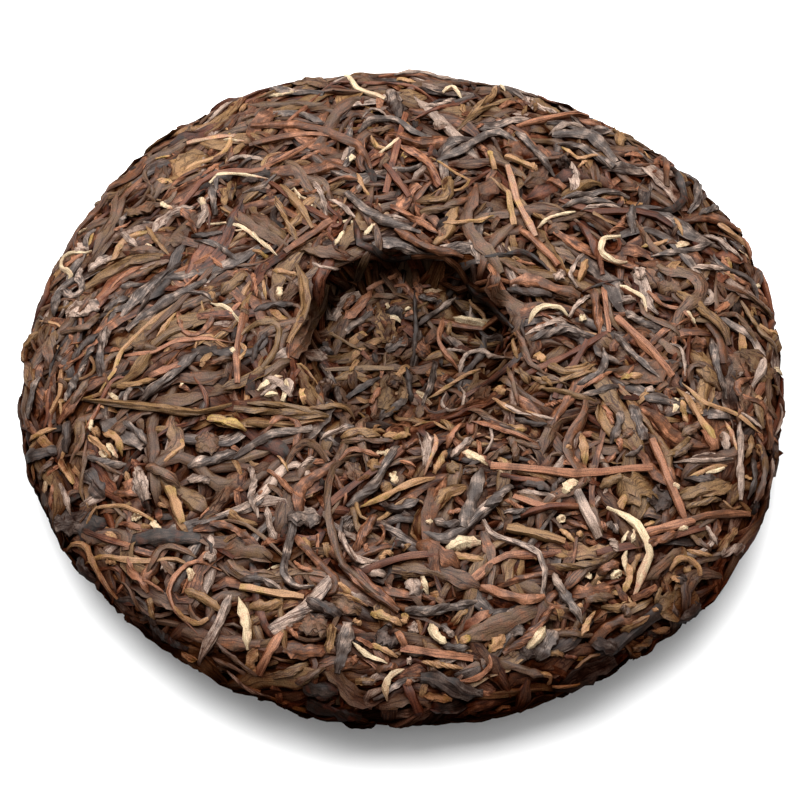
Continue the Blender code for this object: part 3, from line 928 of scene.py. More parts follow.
        ("slate", 7, (95, 345), (82, 362), (78, 380)),
        ("slate", 8, (64, 285), (56, 300), (52, 315)),
        ("slate", 8, (78, 275), (62, 290), (50, 310)),
        ("umber", 7, (100, 290), (88, 300), (78, 315)),
        ("slate", 9, (130, 295), (115, 302), (103, 314)),
        ("umber", 9, (132, 349), (146, 346), (160, 350)),
        ("umber", 9, (100, 314), (86, 328), (58, 334)),
        ("oliveTan", 8, (465, 118), (480, 105), (495, 95), (497, 85)),
        ("oliveBrown", 7, (455, 130), (480, 112), (510, 98)),
        ("greyBrown", 7, (392, 76), (425, 75), (460, 80)),
        ("greyBrown", 6, (420, 108), (440, 106), (457, 98)),
        ("greyBrown", 7, (548, 133), (566, 128), (585, 126)),
        ("slate", 8, (562, 206), (590, 200), (620, 203)),
        ("russet", 7, (628, 212), (620, 224), (608, 234)),
        ("slate", 9, (516, 132), (535, 152), (556, 176)),
        ("slate", 7, (650, 256), (690, 251), (716, 241)),
        ("greyBrown", 6, (700, 232), (720, 240), (742, 262)),
        ("russet", 6, (648, 290), (660, 304), (678, 310), (700, 326)),
        ("umber", 7, (642, 300), (645, 315), (660, 322), (675, 330), (685, 340)),
        ("slate", 9, (625, 310), (640, 322), (660, 328)),
        ("slate", 8, (613, 330), (630, 352), (650, 372), (660, 380)),
        ("slate", 9, (712, 336), (716, 362), (727, 398)),
        ("umber", 8, (716, 317), (736, 313), (745, 326), (756, 343)),
        ("umber", 7, (722, 283), (738, 290), (755, 303), (775, 320)),
        ("oliveBrown", 6, (740, 300), (755, 325), (770, 345), (778, 358)),
        ("russet", 6, (740, 235), (755, 258)),
        ("oliveBrown", 8, (238, 336), (256, 322), (272, 320), (281, 330), (276, 350), (262, 370)),
        ("darkSlate", 7, (266, 330), (256, 346), (253, 364)),
        ("oliveBrown", 7, (245, 403), (285, 405), (310, 412), (330, 416)),
        ("oliveTan", 8, (305, 412), (330, 408), (345, 412), (357, 418)),
        ("umber", 7, (287, 466), (292, 450), (306, 442), (320, 447), (328, 462)),
        ("greyBrown", 6, (313, 452), (303, 470)),
        ("greyBrown", 7, (320, 440), (335, 432), (355, 430)),
        ("darkSlate", 6, (320, 345), (335, 355)),
        ("slate", 8, (418, 296), (438, 301)),
        ("slate", 9, (434, 358), (430, 382), (420, 408)),
        ("darkSlate", 7, (406, 366), (411, 400)),
        ("midBrown", 8, (341, 310), (356, 296)),
        ("greyBrown", 7, (525, 335), (540, 328), (555, 320), (570, 322)),
        ("slate", 9, (527, 340), (545, 332), (565, 328), (580, 333)),
        ("greyBrown", 7, (592, 292), (578, 304), (568, 318)),
        ("umber", 7, (517, 330), (523, 348), (532, 364), (550, 378), (572, 388)),
        ("oliveTan", 7, (548, 366), (562, 374), (584, 372), (598, 362)),
        ("slate", 9, (604, 345), (607, 362), (596, 378), (574, 388)),
        ("oliveBrown", 6, (540, 388), (560, 394), (600, 400)),
        ("slate", 8, (580, 395), (600, 390), (620, 385)),
        ("umber", 8, (25, 385), (25, 410), (28, 430)),
        ("slate", 7, (40, 375), (33, 395), (30, 420)),
        ("slate", 9, (80, 375), (70, 390), (66, 402)),
        ("umber", 8, (90, 378), (80, 395), (72, 408)),
        ("slate", 9, (86, 457), (108, 464), (130, 463)),
        ("slate", 8, (120, 420), (140, 435), (147, 445)),
        ("umber", 7, (55, 457), (45, 470), (38, 480)),
        ("greyBrown", 8, (250, 464), (254, 480), (251, 496), (260, 518)),
        ("greyBrown", 8, (268, 503), (268, 524), (274, 540)),
        ("slate", 7, (240, 580), (262, 580), (285, 590)),
        ("midBrown", 8, (210, 523), (232, 527), (250, 540)),
        ("greyBrown", 9, (203, 555), (217, 562)),
        ("greyBrown", 9, (186, 478), (210, 484)),
        ("greyBrown", 8, (449, 456), (460, 449), (472, 438)),
        ("russet", 6, (478, 436), (481, 446), (480, 458)),
        ("umber", 9, (508, 436), (515, 450), (517, 460)),
        ("umber", 6, (462, 468), (480, 464)),
        ("umber", 6, (462, 474), (480, 468)),
        ("russet", 6, (446, 514), (455, 510), (463, 508)),
        ("slate", 9, (432, 518), (446, 524), (462, 523)),
        ("russet", 7, (365, 542), (369, 556)),
        ("tan", 9, (380, 436), (398, 438), (410, 432)),
        ("umber", 7, (340, 443), (368, 440), (396, 441)),
        ("midBrown", 7, (401, 450), (412, 443), (421, 439)),
        ("darkSlate", 6, (512, 415), (528, 423), (548, 427)),
        ("umber", 6, (512, 440), (528, 444), (542, 449)),
        ("russet", 6, (606, 406), (609, 416), (613, 427)),
        ("russet", 6, (617, 437), (619, 445), (622, 452)),
        ("darkSlate", 7, (566, 477), (556, 482), (554, 490), (558, 499)),
        ("darkSlate", 8, (520, 481), (540, 484), (553, 490)),
        ("slate", 7, (503, 513), (515, 512), (528, 510)),
        ("midBrown", 7, (564, 519), (578, 524), (590, 529)),
        ("umber", 9, (590, 502), (598, 518), (605, 534)),
        ("greyBrown", 8, (610, 536), (612, 546), (618, 553)),
        ("oliveBrown", 9, (666, 457), (680, 447), (691, 437)),
        ("umber", 7, (672, 458), (686, 450), (694, 444)),
        ("darkSlate", 8, (682, 478), (700, 482), (718, 478)),
        ("oliveBrown", 7, (684, 506), (704, 502), (722, 500)),
        ("umber", 7, (690, 533), (702, 545), (715, 552)),
        ("oliveTan", 7, (753, 432), (750, 446), (747, 458)),
        ("midBrown", 8, (768, 412), (771, 430), (771, 452)),
        ("umber", 8, (766, 455), (762, 480), (756, 505)),
        ("darkSlate", 8, (756, 455), (755, 480), (750, 500)),
        ("black", 8, (150, 625), (170, 640), (190, 652)),
        ("umber", 7, (291, 684), (308, 678), (326, 668)),
        ("slate", 9, (442, 643), (455, 648), (470, 648)),
        ("slate", 8, (441, 620), (447, 630), (454, 637)),
        ("midBrown", 8, (376, 672), (390, 668), (400, 664)),
        ("greyBrown", 8, (552, 572), (557, 582), (565, 596)),
        ("oliveTan", 7, (602, 605), (620, 607), (636, 603)),
        ("umber", 8, (620, 606), (630, 618)),
        ("oliveBrown", 8, (632, 652), (645, 645), (655, 638)),
        ("black", 8, (340, 722), (380, 726)),
    ),
    "foldedLeaves": (
        ("umber", 20, (300, 245), (325, 254), (356, 264)),
        ("oliveTan", 11, (296, 262), (305, 282), (304, 302), (297, 324), (289, 344)),
        ("umber", 16, (539, 459), (549, 438), (555, 419), (577, 411), (599, 407)),
        ("oliveBrown", 14, (678, 498), (733, 483)),
        ("cream", 14, (447, 548), (466, 542), (484, 540)),
        ("russet", 12, (457, 631), (474, 620), (496, 606)),
        ("umber", 20, (459, 640), (500, 627), (538, 609)),
        ("umber", 13, (645, 582), (687, 544)),
        ("midBrown", 16, (568, 592), (590, 592), (616, 586)),
        ("oliveBrown", 14, (676, 292), (699, 309), (720, 326), (729, 346)),
        ("oliveTan", 13, (207, 421), (241, 427), (270, 419)),
        ("slate", 16, (100, 417), (121, 432), (143, 448)),
        ("umber", 17, (221, 547), (272, 559)),
        ("darkSlate", 14, (591, 640), (620, 651)),
        ("umber", 16, (120, 187), (117, 212), (102, 243), (93, 255)),
        ("oliveBrown", 10, (86, 275), (121, 261), (164, 255)),
        ("darkSlate", 22, (553, 690), (584, 676), (614, 659)),
        ("umber", 18, (222, 205), (252, 226), (290, 247)),
        ("umber", 14, (250, 215), (288, 240)),
        ("oliveTan", 10, (280, 184), (298, 206), (312, 227)),
        ("oliveBrown", 14, (250, 270), (220, 292)),
        ("oliveBrown", 12, (162, 256), (130, 262), (100, 278), (72, 295)),
        ("umber", 10, (160, 262), (140, 272), (112, 288)),
        ("umber", 14, (128, 252), (162, 251)),
        ("oliveBrown", 10, (234, 180), (230, 200)),
        ("oliveBrown", 14, (560, 197), (580, 185), (602, 182)),
        ("umber", 14, (545, 232), (572, 224)),
        ("oliveBrown", 14, (274, 366), (246, 380), (217, 391)),
        ("mustard", 11, (207, 419), (226, 424), (248, 432)),
        ("oliveTan", 9, (245, 426), (280, 424), (310, 420), (328, 421)),
        ("umber", 10, (206, 362), (232, 358)),
        ("oliveTan", 9, (114, 384), (134, 386), (156, 378)),
        ("midBrown", 10, (108, 494), (140, 494)),
        ("oliveTan", 9, (222, 505), (240, 520), (258, 524)),
        ("oliveTan", 10, (303, 535), (310, 555)),
        ("oliveTan", 8, (325, 540), (332, 560)),
        ("greyBrown", 9, (607, 303), (625, 300), (637, 300)),
        ("midBrown", 16, (690, 345), (708, 345)),
        ("oliveBrown", 9, (515, 365), (530, 385)),
        ("oliveBrown", 9, (150, 428), (185, 430)),
        ("tan", 12, (90, 434), (101, 428)),
        ("midBrown", 13, (447, 476), (436, 492), (424, 518)),
        ("greyBrown", 14, (421, 428), (428, 445), (426, 468)),
        ("darkRusset", 14, (464, 428), (478, 428)),
        ("oliveBrown", 12, (447, 472), (459, 464)),
        ("oliveTan", 14, (432, 512), (446, 494), (470, 487)),
        ("tan", 7, (450, 553), (466, 557), (486, 559)),
        ("midBrown", 18, (416, 542), (436, 552), (462, 567)),
        ("greyBrown", 12, (356, 563), (372, 570), (388, 573)),
        ("oliveTan", 12, (368, 458), (376, 472)),
        ("oliveTan", 12, (380, 490), (394, 484)),
        ("tan", 9, (500, 428), (530, 428)),
        ("greyBrown", 10, (723, 428), (728, 453)),
        ("oliveTan", 8, (700, 497), (722, 492), (734, 480)),
        ("oliveTan", 9, (719, 551), (728, 540), (738, 528)),
        ("oliveTan", 10, (758, 442), (763, 458)),
        ("tan", 11, (249, 672), (250, 660), (257, 648)),
        ("oliveBrown", 9, (271, 677), (290, 672), (308, 665)),
        ("midBrown", 16, (284, 650), (306, 652), (330, 646)),
        ("oliveTan", 9, (332, 622), (331, 640), (326, 655)),
        ("oliveTan", 9, (352, 683), (378, 681)),
        ("black", 16, (300, 690), (340, 694)),
        ("oliveTan", 8, (452, 625), (462, 612), (469, 606)),
        ("black", 16, (425, 706), (470, 703)),
        ("oliveTan", 8, (546, 656), (556, 653), (566, 656)),
        ("greyBrown", 9, (406, 660), (414, 662)),
        ("russet", 9, (350, 658), (359, 664)),
    ),
    "leafFlakes": (
        ("oliveBrown", 34, (620, 497), (656, 482)),
        ("umber", 22, (245, 469), (222, 496), (198, 522)),
        ("oliveBrown", 24, (692, 346), (722, 390)),
        ("umber", 32, (123, 212), (157, 200)),
        ("umber", 24, (152, 236), (186, 240)),
        ("greyBrown", 20, (65, 314), (102, 306)),
        ("slate", 26, (286, 512), (321, 518)),
        ("oliveBrown", 30, (656, 612), (698, 592)),
        ("umber", 24, (327, 283), (308, 322), (292, 358)),
        ("slate", 20, (392, 88), (398, 118)),
        ("greyBrown", 16, (432, 122), (450, 126)),
        ("oliveTan", 12, (615, 130), (621, 145)),
        ("greyBrown", 14, (74, 243), (88, 252)),
        ("umber", 16, (648, 266), (656, 286)),
        ("greyBrown", 12, (638, 266), (641, 282)),
        ("umber", 22, (660, 292), (682, 284)),
        ("oliveTan", 12, (690, 275), (693, 288)),
        ("umber", 22, (728, 352), (748, 376)),
        ("greyBrown", 12, (645, 384), (655, 394)),
        ("umber", 24, (195, 446), (222, 442)),
        ("darkSlate", 18, (386, 322), (402, 306)),
        ("slate", 14, (384, 350), (410, 338)),
        ("midBrown", 18, (414, 346), (430, 354)),
        ("umber", 20, (386, 388), (400, 376)),
        ("umber", 22, (480, 378), (486, 396)),
        ("tan", 11, (496, 384), (501, 396)),
        ("greyBrown", 12, (552, 280), (566, 270)),
        ("darkSlate", 16, (555, 158), (570, 165)),
        ("umber", 16, (350, 458), (358, 482)),
        ("umber", 14, (622, 430), (632, 440)),
        ("darkSlate", 26, (648, 492), (672, 505)),
        ("tan", 12, (690, 412), (702, 408)),
        ("greyBrown", 16, (160, 560), (176, 566)),
        ("umber", 22, (298, 622), (328, 628)),
        ("umber", 16, (330, 602), (364, 612)),
        ("slate", 18, (520, 655), (545, 640)),
        ("slate", 12, (508, 632), (525, 628)),
        ("greyBrown", 16, (408, 578), (420, 596)),
        ("greyBrown", 14, (412, 618), (413, 636)),
        ("darkSlate", 22, (374, 632), (398, 644)),
        ("umber", 16, (566, 628), (580, 638)),
    ),
}
shown = {
    "smooth": 1.5 * mm,
    "sink": 0.12,
    "narrow": 0.88,  # the ridges add to a leaf's width
    "height": 0.75,  # of its width, where its kind gets so thick
    "shade": 1.05,
    "rise": 0.55 * mm,  # above the bare core, as most of them end up
    "between": 260,  # random leaves laid over the broad ones and under the thin ones
}


def photoRoute(pixels):  # the nearest places of the back that face the camera
    rows, columns = np.nonzero(seenCells)
    found = [np.argmin(((seenPixels[rows, columns] - pixel) ** 2).sum(axis=1)) for pixel in pixels]
    line = np.linspace(-topChart["full"], topChart["full"], len(seenPixels))
    route = np.column_stack([line[rows[found]], line[columns[found]]])
    along = runLengths(route)
    steps = np.linspace(0, along[-1], max(charts["leastSteps"], int(along[-1] / charts["routeStep"])))
    fine = [np.interp(steps, along, route[:, k]) for k in (0, 1)]
    return np.column_stack([smoothRun(run, int(shown["smooth"] / charts["routeStep"])) for run in fine])


def layShownLeaves(kinds):
    scale = photo["focalPixels"] / photo["distance"] / shown["narrow"]
    for kind in kinds:
        thickest = leafKinds[kind]["thickness"][1]
        for tone, width, *pixels in shownLeaves[kind]:
            route = photoRoute(pixels)
            leaf = makeLeaf(
                kind, length=float(np.hypot(*np.diff(route, axis=0).T).sum()), width=width / scale,
                thickness=min(thickest, shown["height"] * width / scale), sink=shown["sink"],
                tone=toneNames.index(tone) / (len(toneNames) - 1), shade=shown["shade"],
            )
            layLeaf(topChart, leaf, route)


pressing = {
    "radius": 7 * mm,  # the press evens out what is wider than this
    "leastLaid": 0.05,  # keeps the level in bounds where few leaves lie
    "squash": (0.95, 0.62),  # what it leaves of the rest, and what on the left of the back
    "leftwards": (-5 * mm, 30 * mm),  # from the middle, where that left begins and where it is fully reached
    "backwards": (-30 * mm, 5 * mm),
    "topRise": 0.35 * mm,  # of the leaves' mean level above the bare core
    "underRise": 0.25 * mm,
    "gapSize": 1.3 * mm,  # a point's painted shade is as dark as it lies below the leaves this far round it
    "leastShown": {True: 12, False: 22},  # relief cells of a leaf that is kept, on the back and under
    "leafFill": 0.85,  # of its length by its width, that a leaf covers
    "highest": cakeHigh.z - 0.7 * mm,  # above this, the leaves are pressed down
    "proud": 1.2 * mm,  # and nothing is left further above it than this
    "floorGap": 0.12 * mm,
    "floorSoftness": 0.15 * mm,
}


def blurred(grid, radius):
    turns = [np.fft.fftfreq(n, charts["reliefStep"]) for n in grid.shape]
    fade = np.exp(-2 * (math.pi * radius) ** 2 * (turns[0][:, None] ** 2 + turns[1][None, :] ** 2))
    return np.real(np.fft.ifft2(np.fft.fft2(grid) * fade))


def pressChart(chart):  # the press evens out the heap, and drops the leaves that nothing shows of
    laid = blurred((chart["relief"] > 0).astype(float), pressing["radius"])
    level = blurred(chart["relief"], pressing["radius"]) / np.maximum(laid, pressing["leastLaid"])
    rise = pressing["topRise" if chart["fromTop"] else "underRise"]
    line = np.linspace(-chart["full"], chart["full"], len(level))
    leftwards = smoothShare(-line, *pressing["leftwards"])[:, None]
    backwards = smoothShare(line, *pressing["backwards"])[None, :]
    squash = mix(*pressing["squash"], leftwards * backwards * chart["fromTop"])
    chart["near"] = (blurred(chart["relief"], pressing["gapSize"]) - level) * squash + rise
    chart["squash"] = squash
    cellsShown = np.bincount(chart["owner"][chart["owner"] >= 0], minlength=len(chart["leaves"]))
    kept = []
    for leaf, cells in zip(chart["leaves"], cellsShown):
        if cells < pressing["leastShown"][chart["fromTop"]]:
            continue
        i, j = chartCells(chart, leaf["route"]).T
        leaf["lift"] = (leaf["level"] - level[i, j]) * squash[i, j] + rise
        covered = pressing["leafFill"] * leaf["length"] * leaf["width"]
        leaf["shown"] = cells * charts["reliefStep"] ** 2 / covered
        kept.append(leaf)
    chart["leaves"] = kept


print("laying leaves")
topChart = makeChart(True)
underChart = makeChart(False)
fillChart(topChart, laying["topLeaves"], 0)
fillChart(underChart, laying["underLeaves"], laying["underCrumbs"])
seenPixels = photoPixels(topChart["points"] + shown["rise"] * topChart["normals"])
toCamera = np.array(cameraPlace.translation) - topChart["points"]
seenCells = (topChart["normals"] * toCamera).sum(axis=2) > 0
layShownLeaves(("leafFlakes", "foldedLeaves"))
fillChart(topChart, shown["between"], laying["topCrumbs"])
layShownLeaves(("wideTwists", "narrowTwists", "stems", "strands", "buds"))
for chart in (topChart, underChart):
    pressChart(chart)
    print("leaves that show:", len(chart["leaves"]))


def leafTemplate(sides, rings):  # a closed tube about +Z, one ring after another, with a point at each end
    bm = bmesh.new()
    bmesh.ops.create_circle(bm, cap_ends=True, cap_tris=True, segments=sides, radius=1)
    rim = [edge for edge in bm.edges if edge.is_boundary]
    for _ in range(rings - 1):
        grown = bmesh.ops.extrude_edge_only(bm, edges=rim)["geom"]
        verts = [item for item in grown if isinstance(item, bmesh.types.BMVert)]
        bmesh.ops.translate(bm, verts=verts, vec=(0, 0, 1 / (rings - 1)))
        rim = [item for item in grown if isinstance(item, bmesh.types.BMEdge) and item.is_boundary]
    cap = bmesh.ops.contextual_create(bm, geom=rim)["faces"]
    bmesh.ops.poke(bm, faces=cap)
    bmesh.ops.triangulate(bm, faces=bm.faces)
    bmesh.ops.recalc_face_normals(bm, faces=bm.faces)
    bm.verts.index_update()
    spots = np.array([vert.co for vert in bm.verts])
    faces = np.array([[vert.index for vert in face.verts] for face in bm.faces])
    bm.free()
    tip = np.hypot(spots[:, 0], spots[:, 1]) < 0.5
    angle = np.mod(np.arctan2(spots[:, 1], spots[:, 0]), fullTurn)
    turn = (angle / fullTurn)[faces]  # how far round the tube each face's corners are, from 0 to 1
    wraps = turn.max(axis=1, keepdims=True) - turn.min(axis=1, keepdims=True) > 0.5
    turn = np.where(wraps & (turn < 0.5), turn + 1, turn)
    onRim = ~tip[faces]
    mean = (turn * onRim).sum(axis=1, keepdims=True) / np.maximum(onRim.sum(axis=1, keepdims=True), 1)
    turn = np.where(onRim, turn, mean)
    return {"angle": angle, "share": spots[:, 2], "tip": tip, "faces": faces, "turn": turn}


# The section of a leaf of each shape. "beats" are radians along it in which its ridges come and go
sections = {
    "twisted": {"beat": 0.5, "beats": 9},
    "folded": {"height": 0.55, "squareness": 0.6, "beat": 0.6, "beats": 5},
    "flake": {
        "height": 0.55, "squareness": 0.5, "beats": 4, "notch": 0.10, "notches": 14, "curl": 0.8, "lean": 0.5,
        "leans": 7, "vein": 0.5, "veinWidth": 0.16,
    },
    "stem": {"squareness": 0.55},
}


def sectionShape(leaf, shape, angle, share):  # x across and y up, as shares of half the width and thickness
    form, phase, ridges = sections[shape], leaf["phase"], leaf["ridges"]
    sides = len(ridges)
    side = np.rint(angle / fullTurn * sides).astype(int) % sides
    if shape == "twisted":  # ridges that wind round the leaf
        beat = 1 + form["beat"] * np.sin(form["beats"] * share + phase[2] + side)
        size = 1 + leaf["wrinkled"] * ridges[side] * beat
        turn = angle + leaf["spin"] * share + phase[1]
        return np.cos(turn) * size, np.sin(turn) * size
    x, y = np.cos(angle), np.sin(angle)
    column = np.minimum(side, sides - side)
    if shape == "folded":  # one thin leaf in lengthwise creases
        crease = ridges[column] * (1 + form["beat"] * np.sin(form["beats"] * share + phase[1] + column))
        return x, form["height"] * np.sign(y) * np.abs(y) ** form["squareness"] + crease
    if shape == "flake":  # flat, with a vein, a curl and a notched edge
        edge = 1 + form["notch"] * np.sin(form["notches"] * share + phase[1]) * np.sign(x)
        curl = form["curl"] * math.cos(phase[2]) * x**2
        curl += form["lean"] * x * np.sin(form["leans"] * share + phase[3])
        crease = ridges[column] * np.sin(form["beats"] * share + phase[0] + 2 * column)
        vein = form["vein"] * np.exp(-((x / form["veinWidth"]) ** 2))
        flat = np.sign(y) * np.abs(y) ** form["squareness"] * form["height"]
        return x * edge, flat + curl + vein + crease
    square = (1 + ridges[side]) / np.maximum(np.abs(x), np.abs(y)) ** form["squareness"]
    return x * square, y * square  # a stem is nearly square


# Painted shade and highlight in the colour of each point of a leaf, over what the lamps give
shading = {
    "gapShade": (0.22, 1.24),  # of the deepest points and of the highest
    "gapDepth": (0.95 * mm, -0.55 * mm),  # below what lies round them, of these
    "edgeShade": (0.40, 1.07),  # across a leaf, from its edges to its crown
    "edgeHeight": (-0.5, 0.3),  # as shares of half its thickness, of these
    "paleTones": 3.5,  # the tones before this, in their order, get less of the painted shade and highlight, and less contrast in their grain
    "paleShade": 0.60,
    "facingDown": (-0.95, -0.50),  # the underside itself loses nothing for its side or its slope
    "sideShade": 0.75,  # what the lower side loses of its light
    "sideLowest": 3 * mm,
    "slopeShade": 0.55,  # and what the rim loses, where it is steep
    "slopeTilt": (0.95, 0.15),  # how far up a slope faces, from the first that loses light to the darkest
    "farLight": 0.80,  # of which the far side is spared this much
    "frontShade": 0.62,  # and what it loses towards the front, where the light comes from behind
    "frontStart": 0.86,  # of the way out
    "frontPower": 0.7,
    "hollowShade": 0.36,  # what the dimple's floor loses of its light
    "wallShade": 0.70,  # and what its far wall loses
    "wallReach": 18 * mm,  # from the middle of the dimple
}

joining = {
    "crumple": 0.10,  # of a leaf's size, at each of its points
    "ragged": {"folded": 0.15, "flake": 0.16},  # the same sideways, on broad leaves
    "plainShown": 0.35,  # a leaf that shows less of itself than this has fewer faces
    "plainSides": (0.67, 5),  # as a share of its kind's, and at least
    "plainRings": (0.62, 4),
    "girth": 1.6,  # round a leaf, of its width and thickness together
    "grainShift": 0.1,  # metres for each radian of its phase, so that no two have the same grain
    "sharpAngle": math.radians(36),
}


def paleShare(leaf):
    pale = leaf["tone"] * (len(toneNames) - 1) < shading["paleTones"]
    return shading["paleShade"] if pale else 1


# painted shade in the gaps, at a leaf's edges, on the lower side, on the steep rim and towards the front;
# painted highlight on crowns and high points
def leafShade(leaf, depth, y, centre, tilt, ring):  # tilt: how far up the surface faces, from 1 to -1
    openness = mix(*shading["gapShade"], smoothShare(depth, *shading["gapDepth"]))
    openness *= mix(*shading["edgeShade"], smoothShare(y / (leaf["thickness"] / 2), *shading["edgeHeight"]))
    openness **= paleShare(leaf)
    rim = smoothShare(tilt, *shading["facingDown"])
    side = smoothShare(centre[:, 2], cake["equator"], shading["sideLowest"]) * rim
    openness *= 1 - shading["sideShade"] * side[ring]
    away = np.hypot(centre[:, 0], centre[:, 1])
    rim *= 1 - shading["farLight"] * np.clip(centre[:, 1] / away, 0, 1)
    openness *= 1 - shading["slopeShade"] * (smoothShare(tilt, *shading["slopeTilt"]) * rim)[ring]
    facing = np.clip(-centre[:, 1] / away, 0, 1) ** shading["frontPower"]
    front = smoothShare(away / cake["radius"], shading["frontStart"], 1) * facing
    return openness * (1 - shading["frontShade"] * front[ring])


# painted shade on the dimple's floor and, darker, on its far wall
def lightInDimple(chart, centre):
    hollow = chart["fromTop"] * dimpleDepth(centre[:, 0], centre[:, 1]) / dimple["depth"]
    back = smoothShare(centre[:, 1] - dimple["centre"][1], 0, shading["wallReach"])
    wall = 4 * hollow * (1 - hollow) * back  # halfway down is all wall
    return 1 - shading["hollowShade"] * hollow - shading["wallShade"] * wall


def bendLeaf(chart, leaf, template, shape):  # the template laid along a leaf's route, and its light
    share = template["share"]
    rings = np.unique(share)
    ring = np.searchsorted(rings, share)
    steps = np.arange(len(leaf["route"]))
    along = rings * steps[-1]
    places = np.column_stack([np.interp(along, steps, leaf["route"][:, k]) for k in (0, 1)])
    lift = np.interp(along, steps, leaf["lift"])
    up = unit(readChart(chart, chart["normals"], places))
    tilt = up[:, 2]
    centre = readChart(chart, chart["points"], places) + up * lift[:, None]
    side = unit(np.cross(up, np.gradient(centre, axis=0)))
    roll = leaf["roll"]
    side, up = side * math.cos(roll) + up * math.sin(roll), up * math.cos(roll) - side * math.sin(roll)
    x, y = sectionShape(leaf, shape, template["angle"], share)
    ragged = joining["ragged"].get(shape, joining["crumple"])
    x += ragged * draw.normal(size=len(x)) * (1 + np.abs(x)) / 2
    y += joining["crumple"] * draw.normal(size=len(y))
    profile = widthProfile(leaf, share)
    x = np.where(template["tip"], 0, x * profile * leaf["width"] / 2)
    y = np.where(template["tip"], 0, y * np.sqrt(profile) * leaf["thickness"] / 2)
    i, j = chartCells(chart, places[ring] + sideways(places)[ring] * x[:, None]).T
    depth = (chart["near"][i, j] - lift[ring] - y) / chart["squash"][i, j]
    shade = leafShade(leaf, depth, y, centre, tilt, ring)
    points = centre[ring] + side[ring] * x[:, None] + up[ring] * y[:, None]
    return points, leaf["shade"] * shade, lightInDimple(chart, centre)[ring]


def grainUv(leaf, template):  # in metres, round the leaf and along it
    shift = joining["grainShift"]
    girth = (leaf["width"] + leaf["thickness"]) * joining["girth"]
    across = template["turn"] * girth + leaf["phase"][0] * shift
    length = template["share"][template["faces"]] * leaf["length"] + leaf["phase"][3] * shift
    return np.stack([across, length], axis=2).reshape(-1, 2)


def settle(points):  # clear of the floor and not too proud, both eased in
    gap, soft = pressing["floorGap"], pressing["floorSoftness"]
    low = points[:, 2] - gap
    clear = 8 * soft  # a point this far up stays where it is
    eased = soft * np.log1p(np.exp(np.minimum(low, clear) / soft))
    points[:, 2] = gap + np.where(low > clear, low, eased)
    high = np.maximum(points[:, 2] - pressing["highest"], 0)
    points[:, 2] -= high - pressing["proud"] * np.tanh(high / pressing["proud"])


def fewer(count, limits):
    return max(limits[1], int(count * limits[0]))


def joinLeaves(name, laid, material):  # every leaf of one kind as one mesh
    like = leafKinds[name]
    sides, rings = like["sides"], like["rings"]
    full = leafTemplate(sides, rings)
    plain = leafTemplate(fewer(sides, joining["plainSides"]), fewer(rings, joining["plainRings"]))
    points, faces, uvs = [], [], []
    values = {"tone": [], "shade": [], "dimpleShade": [], "wrinkled": []}
    count = 0
    for chart, leaf in laid:
        template = full if leaf["shown"] > joining["plainShown"] else plain
        bent, shade, dimpleShade = bendLeaf(chart, leaf, template, like["shape"])
        points.append(bent)
        faces.append(template["faces"] + count)
        count += len(bent)
        uvs.append(grainUv(leaf, template))
        values["tone"].append(leaf["tone"] + leaf["drift"] * (template["share"] - 0.5))
        values["shade"].append(shade)
        values["dimpleShade"].append(dimpleShade)
        values["wrinkled"].append(np.full(len(bent), leaf["wrinkled"] * paleShare(leaf)))
    points = np.concatenate(points)
    settle(points)
    mesh = bpy.data.meshes.new(name)
    mesh.from_pydata(points, [], np.concatenate(faces).tolist())
    mesh.uv_layers.new(name="grain").uv.foreach_set("vector", np.concatenate(uvs).astype(np.float32).ravel())
    for attribute, parts in values.items():
        data = mesh.attributes.new(attribute, "FLOAT", "POINT").data
        data.foreach_set("value", np.concatenate(parts).astype(np.float32))
    mesh.shade_smooth()
    mesh.set_sharp_from_angle(angle=joining["sharpAngle"])
    mesh.materials.append(material)
    piece = bpy.data.objects.new(name, mesh)
    bpy.context.scene.collection.objects.link(piece)
    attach(piece, "root")
    print(name, len(laid), "leaves,", len(mesh.polygons), "triangles")


def newGroup(name, inputs, outputs):
    group = bpy.data.node_groups.new(name, "ShaderNodeTree")
    for label, kind, value in inputs:
        socket = group.interface.new_socket(label, in_out="INPUT", socket_type="NodeSocket" + kind)
        if value is not None:
            socket.default_value = value
    for label, kind in outputs:
        group.interface.new_socket(label, in_out="OUTPUT", socket_type="NodeSocket" + kind)
    return group, group.nodes.new("NodeGroupInput").outputs, group.nodes.new("NodeGroupOutput").inputs


def feed(tree, sockets, values):  # each a plain value, another node's output, or a node for its first one
    for label, value in values.items():
        if isinstance(value, bpy.types.Node):
            value = value.outputs[0]
        if isinstance(value, bpy.types.NodeSocket):
            tree.links.new(value, sockets[label])
        else:
            sockets[label].default_value = value


def addNode(tree, kind, values, **settings):
    node = tree.nodes.new("ShaderNode" + kind)
    for name, setting in settings.items():
        setattr(node, name, setting)
    feed(tree, node.inputs, values)
    return node


def addMath(tree, operation, *values):
    return addNode(tree, "Math", dict(enumerate(values)), operation=operation)


def addRange(tree, value, fromLimits, toLimits, **settings):
    limits = zip(("From Min", "From Max", "To Min", "To Max"), (*fromLimits, *toLimits))
    return addNode(tree, "MapRange", {"Value": value, **dict(limits)}, **settings)


grain = {
    "detail": 5,  # of the lengthwise wrinkles
    "roughness": 0.76,
    "blotchDetail": 2,
    "speckSize": 0.28 * mm,  # dust and frayed fibres
    "foldShift": (0.031, 0.017, 0.0),  # so that the creases don't follow the wrinkles
    "foldScale": 0.45,  # of the wrinkles' scale
    "foldDistortion": 0.4,
    "creaseWidth": 0.045,  # creases run where the folds' noise is this near its middle
    "creaseHeight": 0.30,
}


